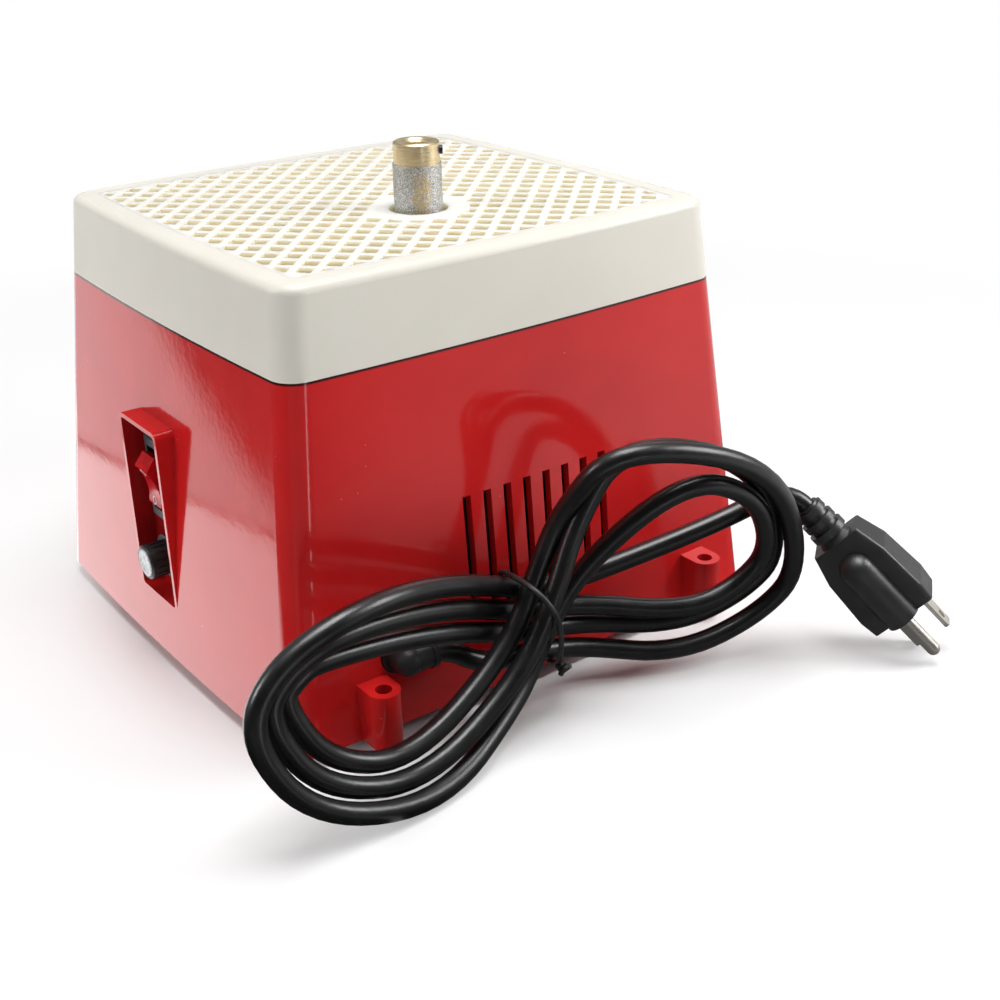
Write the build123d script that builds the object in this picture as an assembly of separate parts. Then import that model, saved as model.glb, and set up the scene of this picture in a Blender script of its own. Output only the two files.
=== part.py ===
"""Small bench grinder for stained glass.

A drafted housing stands on rubber feet and carries a motor under an inner deck, a water tray on top of
that deck and a grid worktop that lifts off. A diamond bit sits on the vertical spindle. The mains cord
leaves at the back and is wound in a figure-eight hank held by a wire tie.
Millimetres, +Z up, front at -Y, switch on the +X side, origin in the middle of the footprint on the bench.
"""
import os
from math import cos, pi, radians, sin, sqrt, tan

from build123d import *

os.makedirs("parts", exist_ok=True)

# Housing
FOOT_H = 5.0
BASE_X = 200.0
BASE_Y = 185.0
SEAM_H = 121.0
DRAFT_X = 6.03
DRAFT_Y = 5.16
BOW = 2.2
CORNER_R = 9.0
WALL = 3.0
DECK_H = 79.0
DECK_T = 4.0
POST_R = 5.0
POST_OFF = 1.0
RIB_T = 2.5
VENT_N = 8
VENT_W = 3.2
VENT_PITCH = 8.2
VENT_LOW = 32.0
VENT_HIGH = 76.0
BOSS_X = 71.0
BOSS_R = 5.5
BOSS_OUT = 8.3
BOSS_TOP = 25.0
BOSS_BORE_R = 2.75
FIT = 0.05
SLIDE = 0.2

# Base plate and feet
PLATE_LIFT = 1.0
PLATE_T = 3.0
PLATE_GAP = 0.3
FOOT_R = 9.0
FOOT_TAPER = 1.2
FOOT_STEM_R = 3.0
FOOT_HOOK = 1.8
FOOT_HOOK_T = 2.0
FOOT_IN = 30.0
SCREW_R = 1.5
SCREW_HEAD_R = 3.4
SCREW_LEN = 16.0
DECK_SCREW_LEN = 12.0
SCREW_HEAD_T = 2.1
BASE_HEAD_T = 2.4
CROSS_LEN = 3.6
CROSS_W = 0.9
HEAD_GAP = 0.2
STANDOFF_R = 3.0
STANDOFF_H = 4.0
STANDOFF_IN = 4.0
BOARD_X = 34.0
BOARD_Y = -54.0
BOARD_W = 56.0
BOARD_D = 34.0
BOARD_T = 1.6

# Worktop
LID_H = 28.0
LID_WALL = 4.0
LID_TOP_T = 4.0
LID_ROUND = 3.0
LID_BORDER = 8.0
SKIRT_DROP = 5.0
SKIRT_T = 2.0
GRID_PITCH = 7.5
GRID_HOLE = 5.0
RING_R = 17.8
TABLE_HOLE_R = 10.2

# Spindle, motor and bit
SPIN_Y = 24.5
SHAFT_R = 4.0
SHAFT_TOP = 172.5
CAN_R = 31.0
CAN_T = 1.6
CAN_LEN = 56.0
BELL_R = 33.0
BELL_T = 6.0
PILOT_R = 15.0
PILOT_H = 3.5
REAR_T = 8.0
BEARING_R = 11.0
BEARING_W = 7.0
MOTOR_SCREW_R = 2.0
MOTOR_SCREW_AT = 26.0
MOTOR_HEAD_R = 3.9
MOTOR_HEAD_SINK = 2.0
MOTOR_HEX_R = 1.7
CABLE_BOX = 12.0
ROTOR_R = 21.0
ROTOR_LOW = 18.0
ROTOR_HIGH = 44.0
ROTOR_SLOTS = 9
SLOT_W = 2.4
SLOT_DEPTH = 8.0
COIL_LEN = 6.0
COIL_R = 18.0
MAGNET_IN_R = 22.0
MAGNET_LOW = 16.0
MAGNET_HIGH = 46.0
MAGNET_GAP = 18.0
COMM_R = 9.0
COMM_LOW = 1.0
BRUSH = 6.0
BRUSH_LEN = 13.4
HOLDER_W = 10.0
HOLDER_H = 11.0
HOLDER_WALL = 1.5
FAN_R = 24.0
FAN_LOW = 50.6
FAN_TOP = 55.0
FAN_DISC = 1.4
FAN_HUB_R = 8.0
FAN_BLADES = 10
FAN_BLADE_T = 1.2
BORE_R = 4.02
BIT_R = 8.35
BAND_T = 1.15
COLLAR_R = 7.9
BIT_LOW = 147.4
BAND_TOP = 169.4
COLLAR_TOP = 176.7
BORE_MOUTH = 1.2
SET_SCREW_R = 1.5
SET_SCREW_Z = 173.6
SET_SCREW_OUT = 1.0
SET_SCREW_HEX_R = 0.8
SET_SCREW_TURN = 143.2

# Tray
TRAY_T = 2.0
TRAY_FLOOR = 2.5
TRAY_H = 31.0
TRAY_DRAFT = 3.2
PIPE_R = 12.0
PIPE_BORE_R = 7.5
PIPE_H = 28.0
TRAY_GAP = 0.8
TRAY_CORNER = 5.0
SEAL_LEN = 7.0
SEAL_DOWN = 2.0
SLINGER_R = 15.0
SLINGER_T = 2.5
SLINGER_UP = 4.0
SLINGER_SKIRT = 8.0
SLINGER_GAP = 1.2
SLINGER_HUB_R = 7.5
SPONGE_W = 36.0
SPONGE_D = 20.0
SPONGE_DOWN = 6.0

# Switch and fuse pocket
POCKET_Y = -3.5
POCKET_W = 26.0
POCKET_LOW = 25.0
POCKET_HIGH = 90.0
POCKET_FACE = 100.0
POCKET_DEPTH = 7.0
POCKET_WALL = 1.6
POCKET_ROUND = 2.6
RECESS_ROUND = 1.4
PANEL_T = 2.5
SWITCH_Y = -4.2
SWITCH_Z = 68.5
BEZEL_H = 31.0
BEZEL_W = 14.5
BEZEL_T = 2.0
BEZEL_LAP_Y = 1.1
BEZEL_LAP_Z = 1.6
CASE_DEPTH = 16.0
WELL_DEPTH = 9.0
TAB_W = 6.3
TAB_T = 0.8
TAB_LEN = 8.0
TAB_Z = 6.5
ROCKER_W = 9.4
ROCKER_LEN = 22.0
ROCKER_TILT = 14.0
FUSE_Z = 38.8
FUSE_CAP_R = 6.25
FUSE_CAP_LEN = 8.2
FUSE_CAP_AT = 2.2
FUSE_FLUTES = 16
FUSE_BARREL_R = 6.0
FUSE_BARREL_LEN = 29.0
FUSE_FLANGE = 2.0
FUSE_BORE_R = 4.2
FUSE_CARRIER_R = 4.1
FUSE_CARRIER_LEN = 17.0
FUSE_NUT_R = 9.0
FUSE_NUT_T = 4.0
FUSE_R = 2.6
FUSE_LEN = 20.0
FUSE_SET = 6.0

# Cord, hank and plug
CORD_R = 3.5
WIRE_R = 1.3
WIRE_GAP = 2.2
GLAND_X = 60.2
GLAND_Z = 30.4
GLAND_SINK = 0.8
GLAND_NECK_R = 5.0
GLAND_NECK = 6.0
GLAND_FLANGE_R = 6.4
GLAND_FLANGE_T = 2.0
GLAND_OUT = 6.6
GLAND_ELBOW_R = 5.0
GLAND_BARREL_R = 4.6
GLAND_REACH = 9.5
GLAND_LIP_R = 5.0
GLAND_LIP_W = 2.0
GLAND_GRIP = 5.0
TIE_X = 16.97
LAY_BACK_Y = 97.0
BACK_Z = 18.99
BACK_STEP = 8.31
FRONT = ((105.81, 55.74), (113.9, 49.95), (105.63, 24.86))
HOLD = 0.688
TIE_WIRE_R = 1.2
TIE_SLACK = 2.3
TIE_TURN = 24.0
TIE_RISE = 4.0
TIE_REACH = 30.0
PIN_R = 2.4
PIN_LEN = 18.0
PIN_UP = 6.2
BLADE_LEN = 16.0
BLADE_T = 1.5
BLADE_W = 6.35
BLADE_GAP = 12.7
BLADE_DOWN = 5.7
BLADE_HOLE_R = 1.6
BLADE_HOLE_IN = 4.3
PLUG_LEN = 36.0
PLUG_DOWN = 1.2
PLUG_ROUND = 1.6
PLUG_BACK = (19.0, 13.0)
PLUG_WAIST = (24.5, 15.5)
PLUG_CHEEK = (26.5, 17.0)
PLUG_FRONT = (25.0, 16.0)
PLUG_SHOULDER = 11.0
PLUG_TAPER = 7.0
RIDGE_R = 6.4
RIDGE_START = 12.0
RELIEF_LEN = 16.0
RELIEF_RIBS = 3
RELIEF_PITCH = 4.6
RELIEF_RIB_W = 2.8
PLUG_FACE = Vector(-108.2, 156.9, 17.35)
PLUG_AIM = Vector(-0.43, 0.57, -0.70).normalized()
PLUG_RIDGE = Vector(0.79, 0.61, 0.0)

# Levels and places that follow from the sizes above
Z_SEAM = FOOT_H + SEAM_H
Z_TOP = Z_SEAM + LID_H
Z_PLATE = FOOT_H + PLATE_LIFT
Z_PLATE_TOP = Z_PLATE + PLATE_T
Z_DECK = FOOT_H + DECK_H
Z_DECK_TOP = Z_DECK + DECK_T
Z_CAN_TOP = Z_DECK - BELL_T
Z_CAN = Z_CAN_TOP - CAN_LEN
Z_REAR = Z_CAN - REAR_T
PANEL_X = POCKET_FACE - POCKET_DEPTH


def half_x(z):
    return BASE_X / 2 - (z - FOOT_H) * tan(radians(DRAFT_X))


def half_y(z):
    return BASE_Y / 2 - (z - FOOT_H) * tan(radians(DRAFT_Y))


BOSS_Y = half_y(BOSS_TOP) + BOSS_OUT
BODY_Y = (BASE_Y / 2 + BOW - BOSS_Y - BOSS_R) / 2
BODY = Pos(0, BODY_Y, 0)
SPIN = Pos(0, SPIN_Y, 0)
CORNERS = [(1, 1), (-1, 1), (-1, -1), (1, -1)]


def bowed(hx, hy, radius, z):
    """Flat face at height z: four gently bowed sides with rounded corners."""
    sides = [
        ThreePointArc((-hx, -hy), (0, -hy - BOW), (hx, -hy)),
        ThreePointArc((hx, -hy), (hx + BOW, 0), (hx, hy)),
        ThreePointArc((hx, hy), (0, hy + BOW), (-hx, hy)),
        ThreePointArc((-hx, hy), (-hx - BOW, 0), (-hx, -hy)),
    ]
    face = make_face(sides)
    return Pos(0, 0, z) * fillet(face.vertices(), radius)


def outline(z, inset=0.0):
    """Outer plan of the drafted body at height z, moved in by inset."""
    return bowed(half_x(z) - inset, half_y(z) - inset, max(CORNER_R - inset, 2.0), z)


def skin(z0, z1, inset=0.0):
    """Solid between two heights under the drafted body surface, moved in by inset."""
    return loft([outline(z0, inset), outline(z1, inset)], ruled=True)


ON_END = (Align.CENTER, Align.CENTER, Align.MIN)


def rod(radius, z0, z1):
    """Upright round bar between two heights."""
    return Pos(0, 0, z0) * Cylinder(radius, z1 - z0, align=ON_END)


def tube(outer, inner, z0, z1):
    """Upright round tube between two heights."""
    return rod(outer, z0, z1) - rod(inner, z0 - 1, z1 + 1)


def block(x0, x1, y0, y1, z0, z1):
    """Box given by its faces."""
    return Pos((x0 + x1) / 2, (y0 + y1) / 2, (z0 + z1) / 2) * Box(x1 - x0, y1 - y0, z1 - z0)


def bar_x(radius, x0, x1, y, z):
    """Round bar along X between two X values."""
    return Pos(x0, y, z) * Rot(0, 90, 0) * Cylinder(radius, x1 - x0, align=ON_END)


def bar_y(radius, y0, y1, x, z):
    """Round bar along Y between two Y values."""
    return Pos(x, y0, z) * Rot(-90, 0, 0) * Cylinder(radius, y1 - y0, align=ON_END)


def group(solids):
    """Separate like solids kept together as one node."""
    return Compound([s for part in solids for s in part.solids()])


def save(part, name):
    """Writes one node."""
    part.label = name
    export_step(part, f"parts/{name}.step")


# Housing: one moulding with four corner posts, a switch pocket, vents and the seat of the cord bushing
cavity = skin(FOOT_H - 1, Z_SEAM + 1, WALL)
housing = skin(FOOT_H, Z_SEAM) - cavity
POST_X = half_x(Z_DECK) - WALL - POST_R - POST_OFF
POST_Y = half_y(Z_DECK) - WALL - POST_R - POST_OFF
RIB_X = half_x(Z_PLATE_TOP) - POST_X
RIB_Y = half_y(Z_PLATE_TOP) - POST_Y
inside = skin(FOOT_H, Z_SEAM, WALL / 2)
post_mid = (Z_PLATE_TOP + Z_DECK) / 2
post_h = Z_DECK - Z_PLATE_TOP
for sx, sy in CORNERS:
    at = Pos(sx * POST_X, sy * POST_Y, 0)
    post = at * rod(POST_R, Z_PLATE_TOP, Z_DECK)
    post += at * Pos(sx * RIB_X / 2, 0, post_mid) * Box(RIB_X, RIB_T, post_h)
    post += at * Pos(0, sy * RIB_Y / 2, post_mid) * Box(RIB_T, RIB_Y, post_h)
    housing += post & inside
    housing -= at * rod(SCREW_R + FIT, Z_PLATE_TOP - 1, Z_PLATE_TOP + SCREW_LEN)
    housing -= at * rod(SCREW_R + FIT, Z_DECK - DECK_SCREW_LEN, Z_DECK + 1)
pocket_y0 = POCKET_Y - POCKET_W / 2
pocket_y1 = POCKET_Y + POCKET_W / 2
tub = block(
    PANEL_X - PANEL_T,
    POCKET_FACE,
    pocket_y0 - POCKET_WALL,
    pocket_y1 + POCKET_WALL,
    POCKET_LOW - POCKET_WALL,
    POCKET_HIGH + POCKET_WALL,
)
tub = fillet(tub.edges().filter_by(Axis.X), POCKET_ROUND)
housing += tub
recess = block(PANEL_X, POCKET_FACE + 9, pocket_y0, pocket_y1, POCKET_LOW, POCKET_HIGH)
housing -= fillet(recess.edges().filter_by(Axis.X), RECESS_ROUND)
window = Box(20, BEZEL_W - 2 * BEZEL_LAP_Y, BEZEL_H - 2 * BEZEL_LAP_Z)
housing -= Pos(PANEL_X, SWITCH_Y, SWITCH_Z) * window
housing -= bar_x(FUSE_BARREL_R + FIT, PANEL_X - 10, PANEL_X + 3, SWITCH_Y, FUSE_Z)
vent_y = half_y(VENT_HIGH)
for i in range(VENT_N):
    x = (i - (VENT_N - 1) / 2) * VENT_PITCH
    housing -= block(x - VENT_W / 2, x + VENT_W / 2, vent_y - 8, vent_y + 12, VENT_LOW, VENT_HIGH)
gland_seat = half_y(GLAND_Z) + BOW * (1 - (GLAND_X / half_x(GLAND_Z)) ** 2) - GLAND_SINK
gland_room = bar_y(GLAND_FLANGE_R + SLIDE, gland_seat, gland_seat + 2 * GLAND_OUT, GLAND_X, GLAND_Z)
housing -= bar_y(GLAND_NECK_R + FIT, gland_seat - 2 * GLAND_NECK, gland_seat + 1, GLAND_X, GLAND_Z)
housing -= gland_room
save(BODY * housing, "housing")

# Rear lugs: two D-shaped bosses on the back wall, drilled through for the rods of a guard
lugs = []
for sx in (1, -1):
    at = Pos(sx * BOSS_X, BOSS_Y, 0)
    lug = at * rod(BOSS_R, FOOT_H, BOSS_TOP)
    lug += block(
        sx * BOSS_X - BOSS_R,
        sx * BOSS_X + BOSS_R,
        half_y(BOSS_TOP) - 1,
        BOSS_Y,
        FOOT_H,
        BOSS_TOP,
    )
    lug -= skin(FOOT_H - 1, Z_SEAM)
    lug -= gland_room
    lugs.append(lug - at * rod(BOSS_BORE_R, FOOT_H - 1, BOSS_TOP + 1))
save(BODY * group(lugs), "rear_lugs")

# Motor deck: a plate screwed down on the four posts, with the motor hung under it and the tray on top
deck = skin(Z_DECK, Z_DECK_TOP, WALL + PLATE_GAP)
deck -= block(
    PANEL_X - PANEL_T - PLATE_GAP,
    POCKET_FACE,
    pocket_y0 - POCKET_WALL - PLATE_GAP,
    pocket_y1 + POCKET_WALL + PLATE_GAP,
    Z_DECK - 1,
    Z_DECK_TOP + 1,
)
deck -= SPIN * rod(PILOT_R + FIT, Z_DECK - 1, Z_DECK_TOP + 1)
for i in range(4):
    spot = SPIN * Rot(0, 0, 45 + 90 * i) * Pos(MOTOR_SCREW_AT, 0, 0)
    deck -= spot * rod(MOTOR_SCREW_R + FIT, Z_DECK - 1, Z_DECK_TOP + 1)
    deck -= spot * rod(MOTOR_HEAD_R + SLIDE, Z_DECK + MOTOR_HEAD_SINK, Z_DECK_TOP + 1)
deck_screws = []
head_low = Z_DECK_TOP - HEAD_GAP - SCREW_HEAD_T
for sx, sy in CORNERS:
    at = Pos(sx * POST_X, sy * POST_Y, 0)
    deck -= at * rod(SCREW_R + HEAD_GAP, Z_DECK - 1, Z_DECK_TOP + 1)
    deck -= at * rod(SCREW_HEAD_R + HEAD_GAP, head_low, Z_DECK_TOP + 1)
    screw = at * rod(SCREW_HEAD_R, head_low, head_low + SCREW_HEAD_T)
    screw += at * rod(SCREW_R, Z_DECK - DECK_SCREW_LEN, head_low + 0.5)
    deck_screws.append(screw)
save(BODY * deck, "motor_deck")
save(BODY * group(deck_screws), "deck_screws")

# Base plate, its screws and the push-in rubber feet
FEET_X = half_x(Z_PLATE) - FOOT_IN
FEET_Y = half_y(Z_PLATE) - FOOT_IN
plate = skin(Z_PLATE, Z_PLATE_TOP, WALL + PLATE_GAP)
screws = []
feet = []
for sx, sy in CORNERS:
    at = Pos(sx * POST_X, sy * POST_Y, 0)
    plate -= at * rod(SCREW_R + SLIDE, Z_PLATE - 1, Z_PLATE_TOP + 1)
    screw = at * rod(SCREW_HEAD_R, Z_PLATE - BASE_HEAD_T, Z_PLATE)
    screw += at * rod(SCREW_R, Z_PLATE - 0.5, Z_PLATE + SCREW_LEN)
    screw -= at * Pos(0, 0, Z_PLATE - BASE_HEAD_T) * Box(CROSS_LEN, CROSS_W, 2 * CROSS_W)
    screw -= at * Pos(0, 0, Z_PLATE - BASE_HEAD_T) * Box(CROSS_W, CROSS_LEN, 2 * CROSS_W)
    screws.append(screw)
    at = Pos(sx * FEET_X, sy * FEET_Y, 0)
    plate -= at * rod(FOOT_STEM_R + FIT, Z_PLATE - 1, Z_PLATE_TOP + 1)
    foot = loft([at * Circle(FOOT_R - FOOT_TAPER), at * Pos(0, 0, Z_PLATE) * Circle(FOOT_R)])
    foot += at * rod(FOOT_STEM_R, Z_PLATE - 0.5, Z_PLATE_TOP)
    foot += at * rod(FOOT_STEM_R + FOOT_HOOK, Z_PLATE_TOP, Z_PLATE_TOP + FOOT_HOOK_T)
    feet.append(foot)
Z_BOARD = Z_PLATE_TOP + STANDOFF_H
for sx, sy in CORNERS:
    board_in_x = BOARD_W / 2 - STANDOFF_IN
    board_in_y = BOARD_D / 2 - STANDOFF_IN
    at = Pos(BOARD_X + sx * board_in_x, BOARD_Y + sy * board_in_y, 0)
    plate += at * rod(STANDOFF_R, Z_PLATE_TOP - 0.5, Z_BOARD)
save(BODY * plate, "base_plate")
save(BODY * group(screws), "base_screws")
save(BODY * group(feet), "rubber_feet")

# Rectifier board that feeds the motor, with its terminal block, connector and bridge
Z_BOARD_TOP = Z_BOARD + BOARD_T
board = Pos(BOARD_X, BOARD_Y, Z_BOARD + BOARD_T / 2) * Box(BOARD_W, BOARD_D, BOARD_T)
save(BODY * board, "rectifier_board")
BLOCK_Y = BOARD_Y + BOARD_D / 2 - 6
terminal = Pos(BOARD_X + 18, BLOCK_Y, Z_BOARD_TOP + 5) * Box(12, 9, 10)
plug_in = Pos(BOARD_X - 6, BLOCK_Y, Z_BOARD_TOP + 4) * Box(12, 9, 8)
bridge = Pos(BOARD_X - 6, BOARD_Y - 8, Z_BOARD_TOP + 6) * Box(15, 5, 12)
capacitor = Pos(BOARD_X + 14, BOARD_Y - 7, 0) * rod(6.5, Z_BOARD_TOP, Z_BOARD_TOP + 20)
save(BODY * group([terminal, plug_in, bridge, capacitor]), "board_blocks")

# Motor: end bell under the deck, steel can, rear cap, bearings, magnets and brush gear
bell = SPIN * rod(BELL_R, Z_CAN_TOP, Z_DECK) + SPIN * rod(PILOT_R, Z_DECK - 1, Z_DECK + PILOT_H)
bell -= SPIN * rod(BEARING_R, Z_CAN_TOP - 1, Z_CAN_TOP + BEARING_W + 1)
bell -= SPIN * rod(SHAFT_R + 1.5, Z_CAN_TOP, Z_DECK_TOP + 1)
motor_screws = []
for i in range(4):
    spot = SPIN * Rot(0, 0, 45 + 90 * i) * Pos(MOTOR_SCREW_AT, 0, 0)
    bell -= spot * rod(MOTOR_SCREW_R + FIT, Z_CAN_TOP - 1, Z_DECK + 1)
    screw = spot * rod(MOTOR_SCREW_R, Z_CAN_TOP + 0.6, Z_DECK + MOTOR_HEAD_SINK + 0.5)
    screw += spot * rod(MOTOR_HEAD_R, Z_DECK + MOTOR_HEAD_SINK, Z_DECK_TOP - 0.3)
    screw -= spot * rod(MOTOR_HEX_R, Z_DECK + MOTOR_HEAD_SINK + 0.7, Z_DECK_TOP)
    motor_screws.append(screw)
save(BODY * bell, "motor_bell")
save(BODY * group(motor_screws), "motor_screws")
save(BODY * SPIN * tube(CAN_R, CAN_R - CAN_T, Z_CAN, Z_CAN_TOP), "motor_can")
rear = rod(CAN_R, Z_REAR, Z_CAN) - rod(BEARING_R, Z_CAN - BEARING_W, Z_CAN + 1)
rear += block(-CABLE_BOX, CABLE_BOX, -CAN_R - 5, -CAN_R + 6, Z_REAR, Z_CAN)
save(BODY * SPIN * rear, "rear_cap")
upper = tube(BEARING_R, SHAFT_R + 0.03, Z_CAN_TOP + 1, Z_CAN_TOP + 1 + BEARING_W)
lower = tube(BEARING_R, SHAFT_R + 0.03, Z_CAN - BEARING_W, Z_CAN)
save(BODY * SPIN * group([upper, lower]), "ball_bearings")
ring = tube(CAN_R - CAN_T, MAGNET_IN_R, Z_CAN + MAGNET_LOW, Z_CAN + MAGNET_HIGH)
ring -= block(-CAN_R, CAN_R, -MAGNET_GAP / 2, MAGNET_GAP / 2, Z_CAN, Z_CAN_TOP)
save(BODY * SPIN * group([ring]), "field_magnets")
holders = []
brushes = []
brush_end = COMM_R + 0.1 + BRUSH_LEN
brush_low = Z_CAN + HOLDER_H / 2 - BRUSH / 2
holder_y = HOLDER_W / 2
for turn in (0, 180):
    holder = block(COMM_R + 1.2, brush_end + HOLDER_WALL, -holder_y, holder_y, Z_CAN, Z_CAN + HOLDER_H)
    holder -= block(COMM_R - 1, brush_end, -BRUSH / 2, BRUSH / 2, brush_low, brush_low + BRUSH)
    holders.append(Rot(0, 0, turn) * holder)
    half = BRUSH / 2 - FIT
    brush = block(COMM_R + 0.1, brush_end, -half, half, brush_low, brush_low + BRUSH - FIT)
    brushes.append(Rot(0, 0, turn) * brush)
save(BODY * SPIN * group(holders), "brush_holders")
save(BODY * SPIN * group(brushes), "carbon_brushes")

# Spindle: shaft, rotor core, windings, commutator and cooling fan
shaft = chamfer(rod(SHAFT_R, Z_REAR + 1.6, SHAFT_TOP).edges().sort_by(Axis.Z)[-1], 0.6)
save(BODY * SPIN * shaft, "spindle_shaft")
core_low = Z_CAN + ROTOR_LOW
core_high = Z_CAN + ROTOR_HIGH
core = tube(ROTOR_R, BORE_R, core_low, core_high)
slot = block(ROTOR_R - SLOT_DEPTH, ROTOR_R + 1, -SLOT_W / 2, SLOT_W / 2, core_low - 1, core_high + 1)
for i in range(ROTOR_SLOTS):
    core -= Rot(0, 0, 360 / ROTOR_SLOTS * i) * slot
save(BODY * SPIN * core, "rotor_core")
coil_low = tube(COIL_R, BORE_R, core_low - COIL_LEN, core_low)
coil_high = tube(COIL_R, BORE_R, core_high, core_high + COIL_LEN)
save(BODY * SPIN * group([coil_low, coil_high]), "rotor_windings")
save(BODY * SPIN * tube(COMM_R, BORE_R, Z_CAN + COMM_LOW, core_low - COIL_LEN), "commutator")
fan_low = Z_CAN + FAN_LOW
fan_top = Z_CAN + FAN_TOP
fan = tube(FAN_R, BORE_R, fan_low, fan_low + FAN_DISC) + tube(FAN_HUB_R, BORE_R, fan_low, fan_top)
vane = block(FAN_HUB_R - 1, FAN_R - 1, -FAN_BLADE_T / 2, FAN_BLADE_T / 2, fan_low + 0.4, fan_top)
for i in range(FAN_BLADES):
    fan += Rot(0, 0, 360 / FAN_BLADES * i) * vane
save(BODY * SPIN * fan, "cooling_fan")

# Water tray on the deck with a standpipe round the shaft, seal, slinger and sponge
tray_x = half_x(Z_SEAM) - WALL - TRAY_GAP
tray_y = half_y(Z_SEAM) - WALL - TRAY_GAP
Z_TRAY_TOP = Z_DECK_TOP + TRAY_H
Z_TRAY_FLOOR = Z_DECK_TOP + TRAY_FLOOR
low = bowed(tray_x - TRAY_DRAFT, tray_y - TRAY_DRAFT, TRAY_CORNER, Z_DECK_TOP)
high = bowed(tray_x, tray_y, TRAY_CORNER, Z_TRAY_TOP)
tray = loft([low, high], ruled=True)
slope = TRAY_DRAFT / TRAY_H
inner_r = TRAY_CORNER - 1.5
low = bowed(tray_x - TRAY_DRAFT - TRAY_T, tray_y - TRAY_DRAFT - TRAY_T, inner_r, Z_DECK_TOP)
high = bowed(tray_x - TRAY_T + slope, tray_y - TRAY_T + slope, inner_r, Z_TRAY_TOP + 1)
hollow = loft([low, high], ruled=True)
hollow -= block(-BASE_X, BASE_X, -BASE_Y, BASE_Y, Z_DECK_TOP - 1, Z_TRAY_FLOOR)
tray -= hollow
tray += SPIN * rod(PIPE_R, Z_DECK_TOP, Z_DECK_TOP + PIPE_H)
tray -= SPIN * rod(PIPE_BORE_R, Z_DECK_TOP - 1, Z_DECK_TOP + PIPE_H + 1)
save(BODY * tray, "water_tray")
Z_PIPE = Z_DECK_TOP + PIPE_H
seal_top = Z_PIPE - SEAL_DOWN
save(BODY * SPIN * tube(PIPE_BORE_R, SHAFT_R + 0.06, seal_top - SEAL_LEN, seal_top), "shaft_seal")
disc_low = Z_PIPE + SLINGER_UP
slinger = tube(SLINGER_R, BORE_R, disc_low, disc_low + SLINGER_T)
slinger += tube(SLINGER_R, PIPE_R + SLINGER_GAP, disc_low - SLINGER_SKIRT, disc_low + 1)
slinger += tube(SLINGER_HUB_R, BORE_R, disc_low - SLINGER_T, disc_low + 2 * SLINGER_T)
save(BODY * SPIN * slinger, "water_slinger")
sponge_y = SPIN_Y + BIT_R + 1
sponge_top = Z_TOP - LID_TOP_T - SPONGE_DOWN
sponge = block(-SPONGE_W / 2, SPONGE_W / 2, sponge_y, sponge_y + SPONGE_D, Z_TRAY_FLOOR, sponge_top)
sponge -= SPIN * rod(SLINGER_R + 1.5, Z_DECK_TOP, Z_PIPE + 11)
save(BODY * sponge, "tray_sponge")

# Worktop: rim with a locating skirt, and the flat grid panel that closes it
rim = skin(Z_SEAM, Z_TOP)
rim = fillet(rim.faces().sort_by(Axis.Z)[-1].edges(), LID_ROUND)
rim -= skin(Z_SEAM - 1, Z_TOP - LID_TOP_T, LID_WALL)
rim -= extrude(outline(Z_TOP + 1, LID_BORDER), -LID_TOP_T - 4)
skirt = extrude(outline(Z_SEAM + 4, WALL + PLATE_GAP), -SKIRT_DROP - 4)
skirt -= extrude(outline(Z_SEAM + 5, WALL + PLATE_GAP + SKIRT_T), -SKIRT_DROP - 8)
rim += skirt
save(BODY * rim, "worktop_rim")
panel = outline(Z_TOP + 1, LID_BORDER)
panel = Pos(0, 0, -panel.center().Z) * panel
window = Pos(0, 0, -Z_TOP - 1) * outline(Z_TOP + 1, LID_BORDER + 1.6)
window -= Pos(0, SPIN_Y) * Circle(RING_R)
step = GRID_PITCH / sqrt(2)
reach = GRID_HOLE / sqrt(2)
cuts = [Pos(0, SPIN_Y) * Circle(TABLE_HOLE_R)]
lim_x = half_x(Z_TOP) - LID_BORDER - 1.6
lim_y = half_y(Z_TOP) - LID_BORDER - 1.6
count = int(lim_x / step) + 2
for i in range(-count, count + 1):
    for j in range(-count, count + 1):
        if (i + j) % 2:
            continue
        x = i * step
        y = j * step - 3.3
        if abs(x) > lim_x + 0.4 * reach + BOW or abs(y) > lim_y + 0.4 * reach + BOW:
            continue
        away = sqrt(x * x + (y - SPIN_Y) ** 2)
        if away < RING_R - 0.3:
            continue
        square = Pos(x, y) * Rot(0, 0, 45) * Rectangle(GRID_HOLE, GRID_HOLE)
        if abs(x) + reach > lim_x - 3 or abs(y) + reach > lim_y - 3 or away < RING_R + reach + 0.3:
            square = square & window
            if square is None or square.area < 0.12 * GRID_HOLE ** 2:
                continue
        cuts.append(square)
panel -= cuts
grid = extrude(Pos(0, 0, Z_TOP - LID_TOP_T) * panel, LID_TOP_T)
save(BODY * grid, "worktop_grid")

# Bit: brass sleeve with a plated diamond band and a set screw
sleeve = rod(BIT_R - BAND_T, BIT_LOW, BAND_TOP) + rod(COLLAR_R, BAND_TOP, COLLAR_TOP)
sleeve = chamfer(sleeve.edges().sort_by(Axis.Z)[-1], 0.5)
sleeve -= rod(BORE_R, BIT_LOW - 1, COLLAR_TOP + 1)
mouth = Cone(BORE_R, BORE_R + BORE_MOUTH, BORE_MOUTH, align=ON_END)
sleeve -= Pos(0, 0, COLLAR_TOP - BORE_MOUTH) * mouth
side = Pos(0, 0, SET_SCREW_Z) * Rot(0, 0, SET_SCREW_TURN)
sleeve -= side * bar_x(SET_SCREW_R, SHAFT_R - 0.5, COLLAR_R + 2, 0, 0)
save(BODY * SPIN * sleeve, "bit_sleeve")
save(BODY * SPIN * tube(BIT_R, BIT_R - BAND_T, BIT_LOW, BAND_TOP), "diamond_band")
set_screw = bar_x(SET_SCREW_R, SHAFT_R + 0.1, COLLAR_R + SET_SCREW_OUT, 0, 0)
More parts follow.
